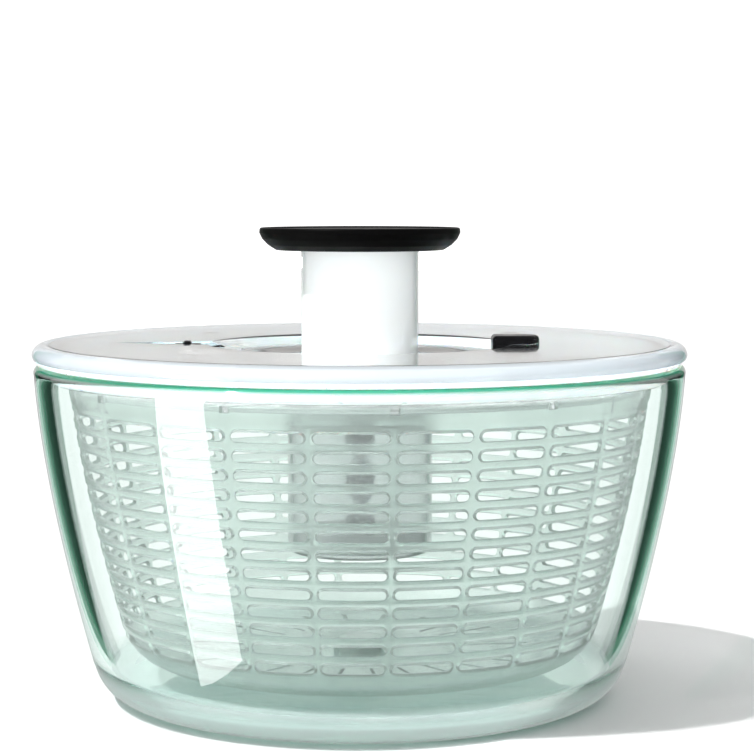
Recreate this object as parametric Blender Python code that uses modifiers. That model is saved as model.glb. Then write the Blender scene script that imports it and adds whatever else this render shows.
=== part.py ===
"""Salad spinner with a glass bowl, a slotted basket and a pump lid.

Sizes are in millimetres and become metres where each shape is made. The bowl
stands on z = 0 and every turning piece turns about the Z axis. The brake
button is on the lid's +X side and the plunger lock is on its -X side.
"""
import math

import bmesh
import bpy

MM = 0.001

# Driving dimensions ------------------------------------------------------

GAP = 0.3                   # clearance left between neighbouring pieces
BIG_STEPS = 40              # facets around the bowl and the lid
HUB_STEPS = 32              # facets around the hub, the tube and the sleeve
SMALL_STEPS = 12            # facets around screws and stems

BOWL_RIM_R = 135.9
BOWL_RIM_Z = 139.3
BOWL_LEAN = 0.0197          # the wall leans in by LEAN * depth ** POWER
BOWL_LEAN_POWER = 1.467
BOWL_WALL = 6.5
BOWL_FOOT_R = 94.5
BOWL_CORNER_R = 18.0
BOWL_FLOOR_Z = 8.0
BOWL_INNER_CORNER_R = 14.0
BOSS_R = 15.8
BOSS_TOP_R = 12.0
BOSS_TOP_Z = 12.0
PIP_R = 5.0
PIP_TOP_Z = 16.0

BUSH_R = 9.0
BUSH_TOP_Z = 21.0

RIB_COUNT = 24
FIRST_RIB_DEG = 6.0
RIB_WIDTH_DEG = 1.7
BASKET_TOP_Z = 131.8
BASKET_FLOOR_Z = 16.5
BASKET_INSET = 14.2         # from the bowl's outer wall, at the basket's rim
BASKET_INSET_SLOPE = 0.023
BASKET_WALL = 1.8
BASKET_CORNER_R = 20.0
BASKET_FLAT_R = 81.1
NOTCH_DEPTH = 3.0
SLOT_ROWS = 12              # up the wall; one more row lies in the bottom corner
TOP_SLOT_Z = 120.2
SLOT_PITCH = 7.5
SLOT_HEIGHT = 3.6
DRAIN_OUTER_R = 72.0
DRAIN_INNER_R = 42.0
HAT_R = 9.6
HAT_CEILING_Z = 21.3

LID_TOP_EDGE_R = 132.0
LID_LIP_Z = 143.2
LID_LIP_ROUND = 4.5
LID_WALL = 2.2
LID_EDGE_Z = 141.5
LID_RISE = 0.7
WELL_EDGE_R = 64.0
WELL_EDGE_Z = 147.0
WELL_FLOOR_R = 56.0
WELL_FLOOR_Z = 143.2
WELL_FLOOR_THICK = 2.0
TUBE_HOLE_R = 25.3
CHANNEL_TIP_X = -101.0
CHANNEL_MOUTH_X = -52.0
CHANNEL_HALF_WIDTH = 11.0
CHANNEL_FLOOR_Z = 144.5
CHANNEL_WALL = 2.0
LID_SCREW_R = 95.0
LID_BOSS_R = 4.0

BASE_TOP_Z = 136.0
BASE_BOTTOM_Z = 134.0
BASE_HOLE_R = 30.0
SKIRT_R = 127.0
SKIRT_WALL = 2.0
SKIRT_BOTTOM_Z = 133.3
SKIRT_TOP_Z = 144.9

SLEEVE_INNER_R = 25.1
SLEEVE_R = 26.9
SLEEVE_TOP_Z = 140.9
SLEEVE_BOTTOM_Z = 116.0
SLEEVE_FLANGE_R = 36.0
SLEEVE_HOOK_R = 28.1

DISC_R = 118.9
DISC_BOTTOM_Z = 129.2
DISC_TOP_Z = 131.4
DISC_HOLE_R = 27.5
LUG_R = 121.0
LUG_HALF_DEG = 0.58

CUP_R = 30.5
CUP_INNER_R = 28.5
CUP_BOTTOM_Z = 60.0
CUP_FLOOR_Z = 62.0
CUP_LIP_R = 27.3
CUP_LIP_Z = 119.0
CUP_FLANGE_R = 38.0
CUP_FLANGE_Z = 128.9
CUP_SCREW_R = 34.0

PLUNGER_TRAVEL = 42.0
TUBE_R = 24.6
TUBE_WALL = 3.0
TUBE_BOTTOM_Z = 118.0
TUBE_TOP_Z = 187.2
LOCK_NOTCH_Z = 180.8
LOCK_NOTCH_HEIGHT = 5.0
LOCK_NOTCH_DEPTH = 2.1
LOCK_NOTCH_WIDTH = 12.0

KNOB_R = 42.1
KNOB_TOP_Z = 195.5
KNOB_BOTTOM_Z = 186.2
KNOB_BOTTOM_R = 34.5
KNOB_CORE_R = 33.0
KNOB_CORE_TOP_Z = 192.2
KNOB_FACE_Z = 194.9         # the flat pad, a little below the raised rim
KNOB_SPIGOT_Z = 184.0

STRIP_WIDTH = 12.0
STRIP_THICK = 4.5
STRIP_BOTTOM_Z = 63.0
STRIP_TOP_Z = 127.0
TWIST_START_Z = 70.0
TWIST_SLICE = 1.0           # height of one slice of the twisted strip
NUT_TOP_Z = 122.0
SEAT_R = 13.5
SEAT_TOP_Z = 129.5
RATCHET_TEETH = 12
RATCHET_TOP_Z = 70.0
CLUTCH_LOBES = 3
CLUTCH_TOP_Z = 69.5

SPRING_R = 12.0
SPRING_WIRE = 1.4
SPRING_TURNS = 7
SPRING_TOP_Z = 183.7

BRAKE_X = 66.0
BRAKE_INNER_X = 55.4
BRAKE_ROUND_X = 67.5
BRAKE_HALF_WIDTH = 8.0
BRAKE_TOP_Z = 150.4
BRAKE_FLANGE_Z = 140.8
BRAKE_BOTTOM_Z = 139.4
BRAKE_FLANGE_WIDTH = 1.2
BRAKE_POCKET_R = 7.0
BRAKE_POCKET_Z = 147.5
BRAKE_PAD_R = 4.2
BRAKE_PAD_TOP_Z = 135.9
BRAKE_PAD_BOTTOM_Z = 134.7
BRAKE_STEM_R = 3.6

LOCK_X = -72.5
TONGUE_BOTTOM_Z = 138.6
TONGUE_TOP_Z = 140.8
TONGUE_TIP_X = -29.2
TONGUE_TAIL_X = -76.0
TONGUE_HALF_WIDTH = 4.0
LOCK_FOOT_Z = 144.9
LOCK_FOOT_TOP_Z = 146.6
LOCK_TAB_TOP_Z = 148.0
LOCK_SOCKET_TOP_Z = 146.4

# Helpers -----------------------------------------------------------------


def clear_scene():
    for old in list(bpy.data.objects):
        bpy.data.objects.remove(old, do_unlink=True)


def new_collection(name):
    collection = bpy.data.collections.new(name)
    bpy.context.scene.collection.children.link(collection)
    return collection


def finish(name, colour, roughness, metallic=0.0, transmission=0.0):
    """A Principled material."""
    made = bpy.data.materials.new(name)
    made.use_nodes = True
    shader = made.node_tree.nodes["Principled BSDF"]
    shader.inputs["Base Color"].default_value = (*colour, 1.0)
    shader.inputs["Roughness"].default_value = roughness
    shader.inputs["Metallic"].default_value = metallic
    shader.inputs["Transmission Weight"].default_value = transmission
    return made


def body(name, x=0.0):
    """An empty on a joint's axis that carries the pieces of one moving body."""
    empty = bpy.data.objects.new("body_" + name, None)
    empty.location = (x * MM, 0.0, 0.0)
    PARTS.objects.link(empty)
    return empty


def place(obj, carrier, look):
    """Puts a piece in the parts collection, on its body, with its own material."""
    for owner in list(obj.users_collection):
        owner.objects.unlink(obj)
    PARTS.objects.link(obj)
    obj.parent = carrier
    obj.location.x -= carrier.location.x
    own = look.copy()
    own.name = obj.name + "_finish"
    obj.data.materials.clear()
    obj.data.materials.append(own)
    return obj


def tool(obj):
    """Puts a shape that cuts or joins another one in the cutters collection."""
    for owner in list(obj.users_collection):
        owner.objects.unlink(obj)
    CUTTERS.objects.link(obj)
    obj.hide_render = True
    obj.display_type = "WIRE"
    return obj


def arc(centre_r, centre_z, radius, first_deg, last_deg, count):
    """Points of an arc in the profile plane, both ends included."""
    points = []
    for step in range(count + 1):
        angle = math.radians(first_deg + (last_deg - first_deg) * step / count)
        points.append((centre_r + radius * math.cos(angle), centre_z + radius * math.sin(angle)))
    return points


def circle(radius, count, x=0.0, y=0.0):
    """A round outline in the XY plane."""
    points = []
    for step in range(count):
        angle = 2 * math.pi * step / count
        points.append((x + radius * math.cos(angle), y + radius * math.sin(angle)))
    return points


def polar(radius, degrees):
    angle = math.radians(degrees)
    return (radius * math.cos(angle), radius * math.sin(angle))


def mesh_object(name, bm):
    mesh = bpy.data.meshes.new(name)
    bm.to_mesh(mesh)
    bm.free()
    obj = bpy.data.objects.new(name, mesh)
    bpy.context.scene.collection.objects.link(obj)
    return obj


def spun(name, profile, steps, ring=True):
    """A turned shape: (radius, z) points, up the inside and down the outside."""
    bm = bmesh.new()
    verts = [bm.verts.new((radius * MM, 0.0, z * MM)) for radius, z in profile]
    for first, second in zip(verts, verts[1:]):
        bm.edges.new((first, second))
    if ring:
        bm.edges.new((verts[-1], verts[0]))
    obj = mesh_object(name, bm)
    turn = obj.modifiers.new("turn", "SCREW")
    turn.axis = "Z"
    turn.steps = steps
    turn.render_steps = steps
    turn.use_merge_vertices = True
    turn.merge_threshold = 0.00001
    turn.use_smooth_shade = False
    return obj


def rod(name, radius, bottom, top, sides=SMALL_STEPS, x=0.0, y=0.0):
    """An upright cylinder."""
    bm = bmesh.new()
    bmesh.ops.create_cone(
        bm, cap_ends=True, segments=sides, radius1=radius * MM, radius2=radius * MM,
        depth=(top - bottom) * MM)
    obj = mesh_object(name, bm)
    obj.location = (x * MM, y * MM, (bottom + top) / 2 * MM)
    return obj


def box(name, low, high):
    """A box between two corners."""
    bm = bmesh.new()
    bmesh.ops.create_cube(bm, size=1.0)
    size = [(high[i] - low[i]) * MM for i in range(3)]
    bmesh.ops.scale(bm, vec=size, verts=bm.verts)
    obj = mesh_object(name, bm)
    obj.location = [(high[i] + low[i]) / 2 * MM for i in range(3)]
    return obj


def plate(name, outlines, bottom, top):
    """A flat plate from closed outlines; the first is its edge, the rest are holes."""
    curve = bpy.data.curves.new(name, "CURVE")
    curve.dimensions = "2D"
    curve.fill_mode = "BOTH"
    curve.extrude = (top - bottom) / 2 * MM
    for outline in outlines:
        spline = curve.splines.new("POLY")
        spline.points.add(len(outline) - 1)
        for point, (x, y) in zip(spline.points, outline):
            point.co = (x * MM, y * MM, 0.0, 1.0)
        spline.use_cyclic_u = True
    source = bpy.data.objects.new(name + "_outline", curve)
    bpy.context.scene.collection.objects.link(source)
    graph = bpy.context.evaluated_depsgraph_get()
    bm = bmesh.new()
    bm.from_mesh(bpy.data.meshes.new_from_object(source.evaluated_get(graph)))
    bmesh.ops.remove_doubles(bm, verts=bm.verts, dist=0.000001)
    bmesh.ops.recalc_face_normals(bm, faces=bm.faces)
    bpy.data.objects.remove(source)
    obj = mesh_object(name, bm)
    obj.location.z = (bottom + top) / 2 * MM
    return obj


def combine(obj, other, operation):
    """Adds a Boolean of another object, which becomes a hidden tool."""
    tool(other)
    step = obj.modifiers.new(operation.lower(), "BOOLEAN")
    step.operation = operation
    step.solver = "EXACT"
    step.object = other
    return obj


def cut(obj, other):
    return combine(obj, other, "DIFFERENCE")


def join(obj, other):
    return combine(obj, other, "UNION")


def coil(name, radius, wire, turns, bottom, top, per_turn, x=0.0):
    """A compression spring between two heights, its wire included."""
    curve = bpy.data.curves.new(name, "CURVE")
    curve.dimensions = "3D"
    curve.bevel_depth = wire / 2 * MM
    curve.bevel_resolution = 2
    curve.use_fill_caps = True
    count = turns * per_turn
    spline = curve.splines.new("POLY")
    spline.points.add(count)
    low = bottom + wire * 0.75
    rise = top - bottom - wire * 1.5
    for step, point in enumerate(spline.points):
        angle = 2 * math.pi * step / per_turn
        height = low + rise * step / count
        point.co = (radius * math.cos(angle) * MM, radius * math.sin(angle) * MM, height * MM, 1.0)
    obj = bpy.data.objects.new(name, curve)
    obj.location.x = x * MM
    bpy.context.scene.collection.objects.link(obj)
    return obj


def screw(name, x, y, head_r, head_z, shank_r, tip_z):
    """A pan-head screw that stands on its head."""
    head_thick = 1.5
    profile = [
        (0.0, tip_z), (shank_r, tip_z - shank_r * 0.5), (shank_r, head_z), (head_r, head_z),
        (head_r, head_z - head_thick * 0.5), (head_r * 0.7, head_z - head_thick),
        (0.0, head_z - head_thick)]
    obj = spun(name, profile, SMALL_STEPS, ring=False)
    obj.location = (x * MM, y * MM, 0.0)
    return obj


# Bowl and basket ---------------------------------------------------------


def bowl_radius(z):
    """Outer radius of the glass wall at a height above its bottom corner."""
    return BOWL_RIM_R - BOWL_LEAN * max(BOWL_RIM_Z - z, 0.0) ** BOWL_LEAN_POWER


def glass_bowl():
    rim_round = BOWL_WALL / 2
    heights = (132.0, 120.0, 105.0, 88.0, 70.0, 52.0, 34.0)
    inner_low_z = BOWL_FLOOR_Z + BOWL_INNER_CORNER_R * 0.85
    inner_foot_r = bowl_radius(inner_low_z) - BOWL_WALL - BOWL_INNER_CORNER_R
    inner_corner_z = BOWL_FLOOR_Z + BOWL_INNER_CORNER_R
    profile = [
        (0.0, PIP_TOP_Z), (PIP_R * 0.7, PIP_TOP_Z - 1.2), (PIP_R, BOSS_TOP_Z),
        (BOSS_TOP_R, BOSS_TOP_Z), (BOSS_R, BOWL_FLOOR_Z)]
    profile += arc(inner_foot_r, inner_corner_z, BOWL_INNER_CORNER_R, -90, -10, 3)
    profile += [(bowl_radius(z) - BOWL_WALL, z) for z in reversed(heights)]
    profile += arc(BOWL_RIM_R - rim_round, BOWL_RIM_Z - rim_round, rim_round, 180, 0, 4)
    profile += [(bowl_radius(z), z) for z in heights]
    profile += arc(BOWL_FOOT_R, BOWL_CORNER_R, BOWL_CORNER_R, -15, -90, 4)
    profile.append((0.0, 0.0))
    return spun("glass_bowl", profile, BIG_STEPS, ring=False)


def pivot_bush():
    bottom = BOSS_TOP_Z + GAP
    pocket_r = PIP_R + 0.3
    pocket_z = PIP_TOP_Z + GAP
    profile = [
        (0.0, pocket_z), (pocket_r, pocket_z), (pocket_r, bottom), (BUSH_R, bottom),
        (BUSH_R, BUSH_TOP_Z - 1.0), (BUSH_R - 1.0, BUSH_TOP_Z), (0.0, BUSH_TOP_Z)]
    profile.reverse()
    return spun("pivot_bush", profile, 20, ring=False)


def basket_radius(z):
    """Outer radius of the basket's wall, which follows the bowl's wall."""
    inset = BASKET_INSET + BASKET_INSET_SLOPE * (BASKET_TOP_Z - z)
    return bowl_radius(z) - inset


def basket_profile():
    """Outer profile from the rim to the axis, and which of its rows are open."""
    heights = [BASKET_TOP_Z, BASKET_TOP_Z - NOTCH_DEPTH]
    slots = []
    for row in range(SLOT_ROWS):
        middle = TOP_SLOT_Z - row * SLOT_PITCH
        slots.append(len(heights))
        heights += [middle + SLOT_HEIGHT / 2, middle - SLOT_HEIGHT / 2]
    profile = [(basket_radius(z), z) for z in heights]
    slots.append(len(profile))
    corner_z = BASKET_FLOOR_Z + BASKET_CORNER_R
    profile += arc(BASKET_FLAT_R, corner_z, BASKET_CORNER_R, -12, -24, 1)
    profile += arc(BASKET_FLAT_R, corner_z, BASKET_CORNER_R, -46, -90, 2)
    drain = len(profile)
    profile += [
        (DRAIN_OUTER_R, BASKET_FLOOR_Z), (DRAIN_INNER_R, BASKET_FLOOR_Z),
        (HAT_R, BASKET_FLOOR_Z), (HAT_R, HAT_CEILING_Z), (0.0, HAT_CEILING_Z)]
    return profile, slots, drain


def column_angle(column):
    """Angle of a column's edge: even columns start a rib, odd ones start a slot."""
    rib = FIRST_RIB_DEG + (column // 2) * 360.0 / RIB_COUNT
    side = -0.5 if column % 2 == 0 else 0.5
    return rib + side * RIB_WIDTH_DEG


def basket():
    """A grid wrapped round the profile, with its slots left out, made thick."""
    profile, slots, drain = basket_profile()
    columns = RIB_COUNT * 2
    rows = len(profile) - 1
    bm = bmesh.new()
    bmesh.ops.create_grid(bm, x_segments=columns, y_segments=rows, size=0.5)
    open_faces = []
    for face in bm.faces:
        middle = face.calc_center_median()
        column = int((middle.x + 0.5) * columns)
        row = int((0.5 - middle.y) * rows)
        is_slot = row in slots and column % 2 == 1
        is_drain = row == drain and column % 2 == 0
        is_notch = row == 0 and column % 4 == 0
        if is_slot or is_drain or is_notch:
            open_faces.append(face)
    for vert in bm.verts:
        column = round((vert.co.x + 0.5) * columns)
        radius, z = profile[round((0.5 - vert.co.y) * rows)]
        x, y = polar(radius, column_angle(column))
        vert.co = (x * MM, y * MM, z * MM)
    bmesh.ops.delete(bm, geom=open_faces, context="FACES")
    bmesh.ops.remove_doubles(bm, verts=bm.verts, dist=0.000001)
    obj = mesh_object("basket", bm)
    wall = obj.modifiers.new("wall", "SOLIDIFY")
    wall.thickness = BASKET_WALL * MM
    wall.offset = -1.0
    wall.use_even_offset = True
    return obj


# Lid ---------------------------------------------------------------------


def dome_z(radius):
    """Height of the lid's top face, which rises a little from the well to the edge."""
    span = (radius - WELL_EDGE_R) / (LID_TOP_EDGE_R - WELL_EDGE_R)
    return WELL_EDGE_Z + LID_RISE * span ** 2


def channel_outline(margin):
    """Pointed channel that runs from the well to its tip, grown by a margin."""
    half = CHANNEL_HALF_WIDTH + margin
    return [
        (CHANNEL_MOUTH_X, -half), (CHANNEL_MOUTH_X, half), (-64.0, half),
        (CHANNEL_TIP_X - margin, 0.8 + margin), (CHANNEL_TIP_X - margin, -0.8 - margin),
        (-64.0, -half)]


def button_outline(margin):
    """Brake button: straight towards the well, round at its outer end."""
    half = BRAKE_HALF_WIDTH + margin
    points = [(BRAKE_INNER_X - margin, -half)]
    points += arc(BRAKE_ROUND_X, 0.0, half, -90, 90, 8)
    points.append((BRAKE_INNER_X - margin, half))
    return points


def lid_screw_places():
    return [polar(LID_SCREW_R, 45 + 90 * index) for index in range(4)]


def lid_cover():
    under = WELL_EDGE_Z - LID_WALL
    inner_round = LID_LIP_ROUND - LID_WALL
    middle_r = (WELL_EDGE_R + LID_TOP_EDGE_R) / 2
    floor_under = WELL_FLOOR_Z - WELL_FLOOR_THICK
    profile = [
        (TUBE_HOLE_R, WELL_FLOOR_Z), (WELL_FLOOR_R, WELL_FLOOR_Z),
        (WELL_EDGE_R - 1.0, WELL_EDGE_Z - 0.3), (WELL_EDGE_R + 0.5, WELL_EDGE_Z),
        (middle_r, dome_z(middle_r))]
    profile += arc(LID_TOP_EDGE_R, LID_LIP_Z, LID_LIP_ROUND, 90, 0, 3)
    profile += [(BOWL_RIM_R, LID_EDGE_Z), (BOWL_RIM_R - LID_WALL, LID_EDGE_Z)]
    profile += arc(LID_TOP_EDGE_R, LID_LIP_Z, inner_round, 0, 90, 2)
    profile += [
        (middle_r, dome_z(middle_r) - LID_WALL), (WELL_EDGE_R + 0.9, under),
        (WELL_FLOOR_R + 1.2, floor_under), (TUBE_HOLE_R, floor_under)]
    cover = spun("lid_cover", profile, BIG_STEPS)
    pan_bottom = CHANNEL_FLOOR_Z - CHANNEL_WALL
    pan_top = under + 0.9
    join(cover, plate("channel_pan", [channel_outline(CHANNEL_WALL)], pan_bottom, pan_top))
    for index, (x, y) in enumerate(lid_screw_places(), 1):
        boss = rod(f"boss_{index}", LID_BOSS_R, BASE_TOP_Z + GAP, pan_top, x=x, y=y)
        join(cover, boss)
    cut(cover, plate("channel", [channel_outline(0.0)], CHANNEL_FLOOR_Z, 153.0))
    cut(cover, plate("brake_opening", [button_outline(0.4)], 137.0, 153.0))
    stem_slot = box("stem_slot", (LOCK_X - 2.1, -2.1, 140.0), (LOCK_X + 7.1, 2.1, 146.0))
    cut(cover, stem_slot)
    for index, (x, y) in enumerate(lid_screw_places(), 1):
        cut(cover, rod(f"boss_hole_{index}", 1.5, 135.0, 143.8, sides=8, x=x, y=y))
    return cover


def lid_base():
    inner = SKIRT_R - SKIRT_WALL
    profile = [
        (BASE_HOLE_R, BASE_TOP_Z), (inner, BASE_TOP_Z), (inner, SKIRT_TOP_Z),
        (SKIRT_R, SKIRT_TOP_Z), (SKIRT_R, SKIRT_BOTTOM_Z), (inner, SKIRT_BOTTOM_Z),
        (inner, BASE_BOTTOM_Z), (BASE_HOLE_R, BASE_BOTTOM_Z)]
    base = spun("lid_base", profile, BIG_STEPS)
    for index, (x, y) in enumerate(lid_screw_places(), 1):
        cut(base, rod(f"base_hole_{index}", 1.5, 132.0, 138.0, sides=8, x=x, y=y))
    cut(base, rod("brake_hole", BRAKE_PAD_R + 0.4, 132.0, 138.0, sides=16, x=BRAKE_X))
    return base


def rim_seal():
    lip = SKIRT_R + GAP
    profile = [
        (lip, LID_EDGE_Z - GAP), (BOWL_RIM_R - 0.5, LID_EDGE_Z - GAP),
        (BOWL_RIM_R - 1.4, BOWL_RIM_Z + GAP), (lip + 1.6, BOWL_RIM_Z + GAP),
        (lip + 1.6, BASE_BOTTOM_Z + 0.4), (lip, BASE_BOTTOM_Z)]
    return spun("rim_seal", profile, BIG_STEPS)


def guide_sleeve():
    hook_top = CUP_LIP_Z - 0.5
    flange_z = BASE_TOP_Z + GAP
    profile = [
        (SLEEVE_INNER_R, SLEEVE_TOP_Z), (SLEEVE_R, SLEEVE_TOP_Z), (SLEEVE_R, flange_z + 2.0),
        (SLEEVE_FLANGE_R, flange_z + 2.0), (SLEEVE_FLANGE_R, flange_z), (SLEEVE_R, flange_z),
        (SLEEVE_R, hook_top), (SLEEVE_HOOK_R, hook_top), (SLEEVE_HOOK_R, SLEEVE_BOTTOM_Z),
        (SLEEVE_INNER_R, SLEEVE_BOTTOM_Z)]
    sleeve = spun("guide_sleeve", profile, HUB_STEPS)
    half = TONGUE_HALF_WIDTH + 0.6
    return cut(sleeve, box("tongue_window", (-28.0, -half, 138.31), (-23.0, half, 142.0)))


def bearing_ring():
    low = DISC_TOP_Z + GAP
    high = BASE_BOTTOM_Z - GAP
    profile = [(31.0, high), (36.0, high), (36.0, low), (31.0, low)]
    return spun("bearing_ring", profile, HUB_STEPS)


def lid_screws():
    made = []
    for index, (x, y) in enumerate(lid_screw_places(), 1):
        made.append(screw(f"lid_screw_{index}", x, y, 3.0, BASE_BOTTOM_Z - GAP, 1.1, 143.0))
    return made


# Drive -------------------------------------------------------------------


def disc_outline():
    """Disc edge: straight between the ribs, with a lug at every second rib."""
    points = []
    for rib in range(RIB_COUNT):
        start = column_angle(rib * 2)
        end = column_angle(rib * 2 + 1)
        middle = (start + end) / 2
        points.append(polar(DISC_R, start))
        if rib % 2 == 0:
            low = middle - LUG_HALF_DEG
            high = middle + LUG_HALF_DEG
            points += [polar(DISC_R, low), polar(LUG_R, low)]
            points += [polar(LUG_R, high), polar(DISC_R, high)]
        points.append(polar(DISC_R, end))
    return points


def cup_screw_places():
    return [polar(CUP_SCREW_R, 30 + 120 * index) for index in range(3)]


def drive_disc():
    hole = circle(DISC_HOLE_R, HUB_STEPS)
    screw_holes = [circle(1.3, 8, x, y) for x, y in cup_screw_places()]
    return plate("drive_disc", [disc_outline(), hole] + screw_holes, DISC_BOTTOM_Z, DISC_TOP_Z)


def hub_cup():
    flange_under = CUP_FLANGE_Z - 2.0
    profile = [
        (0.0, CUP_FLOOR_Z), (CUP_INNER_R, CUP_FLOOR_Z), (CUP_INNER_R, CUP_LIP_Z),
        (CUP_LIP_R, CUP_LIP_Z), (CUP_LIP_R, CUP_FLANGE_Z), (CUP_FLANGE_R, CUP_FLANGE_Z),
        (CUP_FLANGE_R, flange_under), (CUP_R, flange_under), (CUP_R, CUP_BOTTOM_Z + 1.5),
        (CUP_R - 1.5, CUP_BOTTOM_Z), (0.0, CUP_BOTTOM_Z)]
    cup = spun("hub_cup", profile, HUB_STEPS, ring=False)
    for index, (x, y) in enumerate(cup_screw_places(), 1):
        cut(cup, rod(f"cup_hole_{index}", 1.3, 126.0, 130.0, sides=8, x=x, y=y))
    return cup


def cup_screws():
    made = []
    head_z = CUP_FLANGE_Z - 2.0 - GAP
    for index, (x, y) in enumerate(cup_screw_places(), 1):
        made.append(screw(f"hub_screw_{index}", x, y, 2.6, head_z, 0.9, 131.1))
    return made


def ratchet_ring():
    """A ring with saw teeth on its inside."""
    teeth = []
    for tooth in range(RATCHET_TEETH):
        start = 360.0 * tooth / RATCHET_TEETH
        teeth.append(polar(16.0, start))
        teeth.append(polar(18.2, start + 0.5))
        teeth.append(polar(17.1, start + 15.0))
    edge = circle(CUP_INNER_R - GAP, HUB_STEPS)
    return plate("ratchet_ring", [edge, teeth], CUP_FLOOR_Z + GAP, RATCHET_TOP_Z)


# Plunger and shaft -------------------------------------------------------


def plunger_tube():
    inner = TUBE_R - TUBE_WALL
    profile = [
        (inner, TUBE_TOP_Z), (TUBE_R, TUBE_TOP_Z), (TUBE_R, TUBE_BOTTOM_Z + 0.6),
        (TUBE_R - 0.6, TUBE_BOTTOM_Z), (inner, TUBE_BOTTOM_Z)]
    tube = spun("plunger_tube", profile, HUB_STEPS)
    half = LOCK_NOTCH_WIDTH / 2
    low = (-TUBE_R - 1.0, -half, LOCK_NOTCH_Z - LOCK_NOTCH_HEIGHT / 2)
    high = (-TUBE_R + LOCK_NOTCH_DEPTH, half, LOCK_NOTCH_Z + LOCK_NOTCH_HEIGHT / 2)
    return cut(tube, box("lock_notch", low, high))


def strip_angle(z):
    """Twist of the drive strip at a height: one turn in the plunger's travel."""
    return 2 * math.pi * max(z - TWIST_START_Z, 0.0) / PLUNGER_TRAVEL


def twisted_strip(name, width, thick, bottom, top):
    """A flat strip, sliced across and turned slice by slice."""
    bm = bmesh.new()
    bmesh.ops.create_cube(bm, size=1.0)
    bmesh.ops.scale(bm, vec=(width * MM, thick * MM, (top - bottom) * MM), verts=bm.verts)
    bmesh.ops.translate(bm, vec=(0.0, 0.0, (top + bottom) / 2 * MM), verts=bm.verts)
    slices = round((STRIP_TOP_Z - TWIST_START_Z) / TWIST_SLICE)
    for index in range(slices):
        height = TWIST_START_Z + index * TWIST_SLICE
        if bottom < height < top:
            cut_place = (0.0, 0.0, height * MM)
            everything = bm.verts[:] + bm.edges[:] + bm.faces[:]
            bmesh.ops.bisect_plane(bm, geom=everything, plane_co=cut_place, plane_no=(0, 0, 1))
    for vert in bm.verts:
        angle = strip_angle(vert.co.z / MM)
        x, y = vert.co.x, vert.co.y
        vert.co.x = x * math.cos(angle) - y * math.sin(angle)
        vert.co.y = x * math.sin(angle) + y * math.cos(angle)
    bmesh.ops.triangulate(bm, faces=bm.faces, quad_method="FIXED")
    return mesh_object(name, bm)


def twist_shaft():
    shaft = twisted_strip("twist_shaft", STRIP_WIDTH, STRIP_THICK, STRIP_BOTTOM_Z, STRIP_TOP_Z)
    return cut(shaft, rod("shaft_screw_hole", 1.3, 120.0, 129.0, sides=8))


def spring_seat():
    low = STRIP_TOP_Z + GAP
    profile = [
        (1.3, SEAT_TOP_Z), (SEAT_R - 0.5, SEAT_TOP_Z), (SEAT_R, SEAT_TOP_Z - 0.5),
        (SEAT_R, low), (1.3, low)]
    return spun("spring_seat", profile, 24)


def shaft_screw():
    """The seat's screw, its head up."""
    head = SEAT_TOP_Z + GAP
    profile = [
        (0.0, head + 1.4), (1.8, head + 1.4), (2.6, head + 0.7), (2.6, head), (1.0, head),
        (1.0, 121.0), (0.0, 120.4)]
    return spun("shaft_screw", profile, SMALL_STEPS, ring=False)


def clutch_hub():
    """A hub whose pawls sweep out to the teeth, with a keyed hole for the strip."""
    points = []
    per_lobe = 10
    for step in range(CLUTCH_LOBES * per_lobe):
        lobe = (step % per_lobe) / (per_lobe - 1)
        angle = 360.0 * (step // per_lobe) / CLUTCH_LOBES + 110.0 * lobe
        points.append(polar(9.0 + 6.4 * lobe, angle))
    half_x = STRIP_WIDTH / 2 + GAP
    half_y = STRIP_THICK / 2 + GAP
    key = [(-half_x, -half_y), (half_x, -half_y), (half_x, half_y), (-half_x, half_y)]
    return plate("clutch_hub", [points, key], CUP_FLOOR_Z + 2 * GAP, CLUTCH_TOP_Z)


def drive_nut():
    """A disc in the tube's end, its slot twisted like the strip."""
    nut = rod("drive_nut", TUBE_R - TUBE_WALL - GAP, TUBE_BOTTOM_Z, NUT_TOP_Z, sides=24)
    play = 1.4
    slot = twisted_strip(
        "nut_slot", STRIP_WIDTH + play, STRIP_THICK + play, TUBE_BOTTOM_Z - 2.5, NUT_TOP_Z + 2.0)
    return cut(nut, slot)


def knob_core():
    spigot = TUBE_R - TUBE_WALL - GAP
    low = TUBE_TOP_Z + GAP
    profile = [
        (0.0, KNOB_CORE_TOP_Z), (KNOB_CORE_R, KNOB_CORE_TOP_Z), (KNOB_CORE_R, low),
        (spigot, low), (spigot, KNOB_SPIGOT_Z + 0.5), (spigot - 0.5, KNOB_SPIGOT_Z),
        (0.0, KNOB_SPIGOT_Z)]
    return spun("knob_core", profile, HUB_STEPS, ring=False)


def knob_grip():
    """Soft ring: a cup round the core with a thin raised rim on top."""
    pocket = KNOB_CORE_R + GAP
    hole = TUBE_R + 0.4
    profile = [
        (pocket, KNOB_FACE_Z), (KNOB_R - 2.4, KNOB_FACE_Z), (KNOB_R - 1.6, KNOB_TOP_Z),
        (KNOB_R - 0.6, KNOB_TOP_Z - 0.1), (KNOB_R, 194.4), (KNOB_R - 0.3, 193.0),
        (KNOB_R - 1.3, 190.9), (KNOB_R - 2.9, 189.0), (KNOB_R - 5.3, 187.4),
        (KNOB_BOTTOM_R, KNOB_BOTTOM_Z),
        (hole, KNOB_BOTTOM_Z - 0.2), (hole, TUBE_TOP_Z), (pocket, TUBE_TOP_Z)]
    return spun("knob_grip", profile, BIG_STEPS)


def knob_top():
    low = KNOB_CORE_TOP_Z + GAP
    profile = [(0.0, KNOB_FACE_Z), (KNOB_CORE_R, KNOB_FACE_Z), (KNOB_CORE_R, low), (0.0, low)]
    return spun("knob_top", profile, HUB_STEPS, ring=False)


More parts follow.
